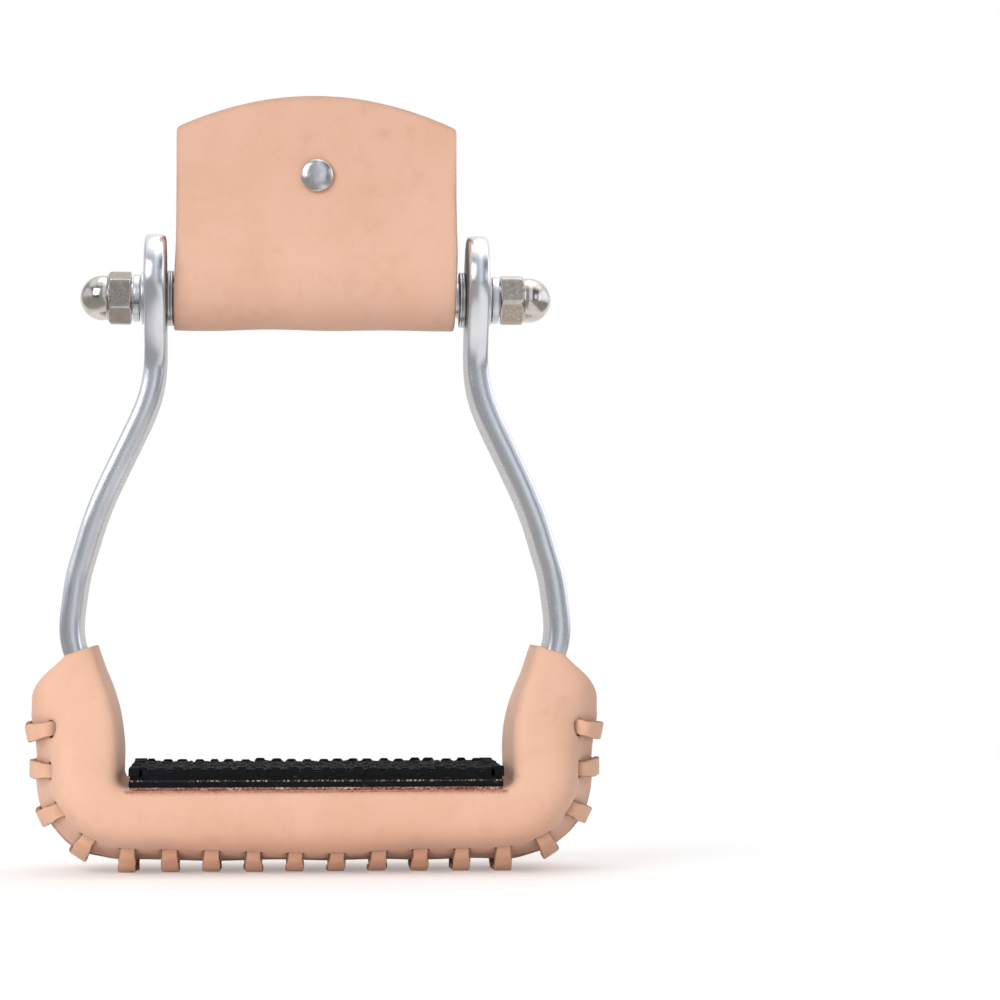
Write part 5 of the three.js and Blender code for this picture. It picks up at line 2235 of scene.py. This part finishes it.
@dataclass(frozen=True)
class Lamp:
    """A soft lamp that faces the stirrup, in metres and watts."""

    name: str
    at: tuple
    size: float
    power: float
    tall: float = 0.0
    mirrored: bool = True
    aim_z: float = 0.1

    def hang(self) -> None:
        """Puts the lamp in the scene, square where it has no height of its own."""
        data = bpy.data.lights.new(self.name, "AREA")
        data.shape, data.energy = "RECTANGLE", self.power
        data.size, data.size_y = self.size, self.tall or self.size
        lamp = add_object(self.name, data)
        lamp.location = self.at
        lamp.visible_glossy = self.mirrored
        way = Vector((0, 0, self.aim_z)) - Vector(self.at)
        lamp.rotation_euler = way.to_track_quat("-Z", "Y").to_euler()


@dataclass
class Studio:
    """Camera, lamps, floor and world."""

    camera_at: tuple = (-15.0, -1000.0, 80.0)
    aim: tuple = (55.8, 0.0, 111.6)
    lens: float = 118.9
    world_light: float = 0.56
    dim: float = 0.46
    floor_rings: tuple = (0.0, 120.0, 300.0, 700.0, 1400.0, 2600.0, 4000.0)
    floor_sides: int = 64
    floor_drop: float = 0.05
    lamps: tuple = (
        Lamp("key", (-0.95, -1.3, 1.0), 1.0, 9.6),
        Lamp("fill", (1.1, -1.0, 0.6), 0.9, 0.5),
        Lamp("top", (0.1, 0.3, 1.7), 1.1, 4.0),
        Lamp("rear", (0.5, 1.4, 0.6), 1.2, 3.5, mirrored=False),
        Lamp("low", (-0.6, -1.3, 0.1), 1.0, 5.4, 0.2, mirrored=False),
    )

    def camera(self) -> None:
        """Sets the camera where the photograph was taken from."""
        data = bpy.data.cameras.new("camera")
        data.sensor_width = 36
        data.lens = self.lens
        data.clip_start, data.clip_end = 0.01, 50
        eye = add_object("camera", data)
        eye.location = Vector(self.camera_at) * MM
        look = (Vector(self.aim) - Vector(self.camera_at)) * MM
        eye.rotation_euler = look.to_track_quat("-Z", "Y").to_euler()
        bpy.context.scene.camera = eye

    def world(self) -> None:
        """A white backdrop that metal sees too, and a dim room with windows behind the camera."""
        world = bpy.data.worlds.new("studio")
        bpy.context.scene.world = world
        world.use_nodes = True
        desk = Desk(world.node_tree)
        path = desk.node("ShaderNodeLightPath")
        camera, glossy = path.wire("Is Camera Ray"), path.wire("Is Glossy Ray")
        way = desk.node("ShaderNodeTexCoord").wire("Generated")
        parts = desk.node("ShaderNodeSeparateXYZ", {}, {"Vector": way})
        x, y, z = parts.wire("X"), parts.wire("Y"), parts.wire("Z")
        wide = abs(x)
        over = z.step(0.6, 0.8) * y.step(-0.6, -0.25)
        height = z.step(0.02, 0.2) * (1 - z.step(0.6, 0.75))
        cove = wide.step(0.24, 0.36) * (1 - wide.step(0.68, 0.78)) * (1 - y.step(-0.4, 0.0))
        sides = wide.step(0.76, 0.86) * (0.05 + height * 0.5) * (1 - y.step(0.3, 0.44) * 0.55)
        pane = wide.step(0.46, 0.5) * (1 - wide.step(0.64, 0.68)) * (1 - y.step(-0.5, -0.4))
        window = pane * z.step(0.08, 0.12) * (1 - z.step(0.4, 0.44))
        front = self.dim + x.step(-0.02, 0.07) * 0.6
        room_side = 1 - y.step(0.5, 0.85)
        room = front * (1 - cove * 0.85) + over * 0.55 + sides + window * 0.9
        mirrored = (1 - room_side) + room_side * room
        rest = (1 - glossy) * self.world_light + glossy * mirrored
        strength = camera + (1 - camera) * rest
        cool = desk.mix(room_side * glossy * (1 - over), (1, 1, 1), (0.86, 0.91, 1.0))
        light = desk.node("ShaderNodeBackground", {}, {"Color": cool, "Strength": strength})
        desk.node("ShaderNodeOutputWorld", {}, {"Surface": light.wire("Background")})

    def floor(self) -> None:
        """A wide pale floor under the lowest lacing."""
        sides = self.floor_sides
        angles = 2 * math.pi * np.arange(sides) / sides
        radius = np.array(self.floor_rings)[:, None]
        flat = [radius * np.cos(angles), radius * np.sin(angles), 0 * radius * angles - self.floor_drop]
        faces = band_faces(len(radius), sides)
        floor = new_piece("floor", np.stack(flat, axis=-1).reshape(-1, 3), faces)
        floor.data.materials.append(StudioFloor().material())

    def make(self) -> None:
        """Sets up the studio."""
        self.camera()
        self.floor()
        self.world()
        for lamp in self.lamps:
            lamp.hang()
        bpy.context.scene.view_settings.view_transform = "Standard"


def main() -> None:
    """Builds the studio and every piece of the stirrup."""
    logging.basicConfig(level=logging.INFO, format="%(name)s: %(message)s")
    Studio().make()
    run = StirrupRun()
    hide = NaturalLeather().material()
    thong = NaturalLeather(
        "lace_leather", pale=srgb(236, 187, 158), warm=srgb(226, 173, 142), scuff=srgb(208, 148, 116),
        edge_brown=srgb(158, 96, 64), fibre=1.4,
    ).material()
    FrameBar(run).make()
    log.info("frame bar made")
    cover = FootCover(run, hide)
    cover.make()
    log.info("cover made")
    FootLace(cover, thong).make()
    NeckLeather(hide).make()
    log.info("neck leather made")
    BoltHardware().make()
    NeckRivet().make()
    log.info("hardware made")
    TreadSheet().make()
    log.info("tread made")


if __name__ == "__main__":
    main()
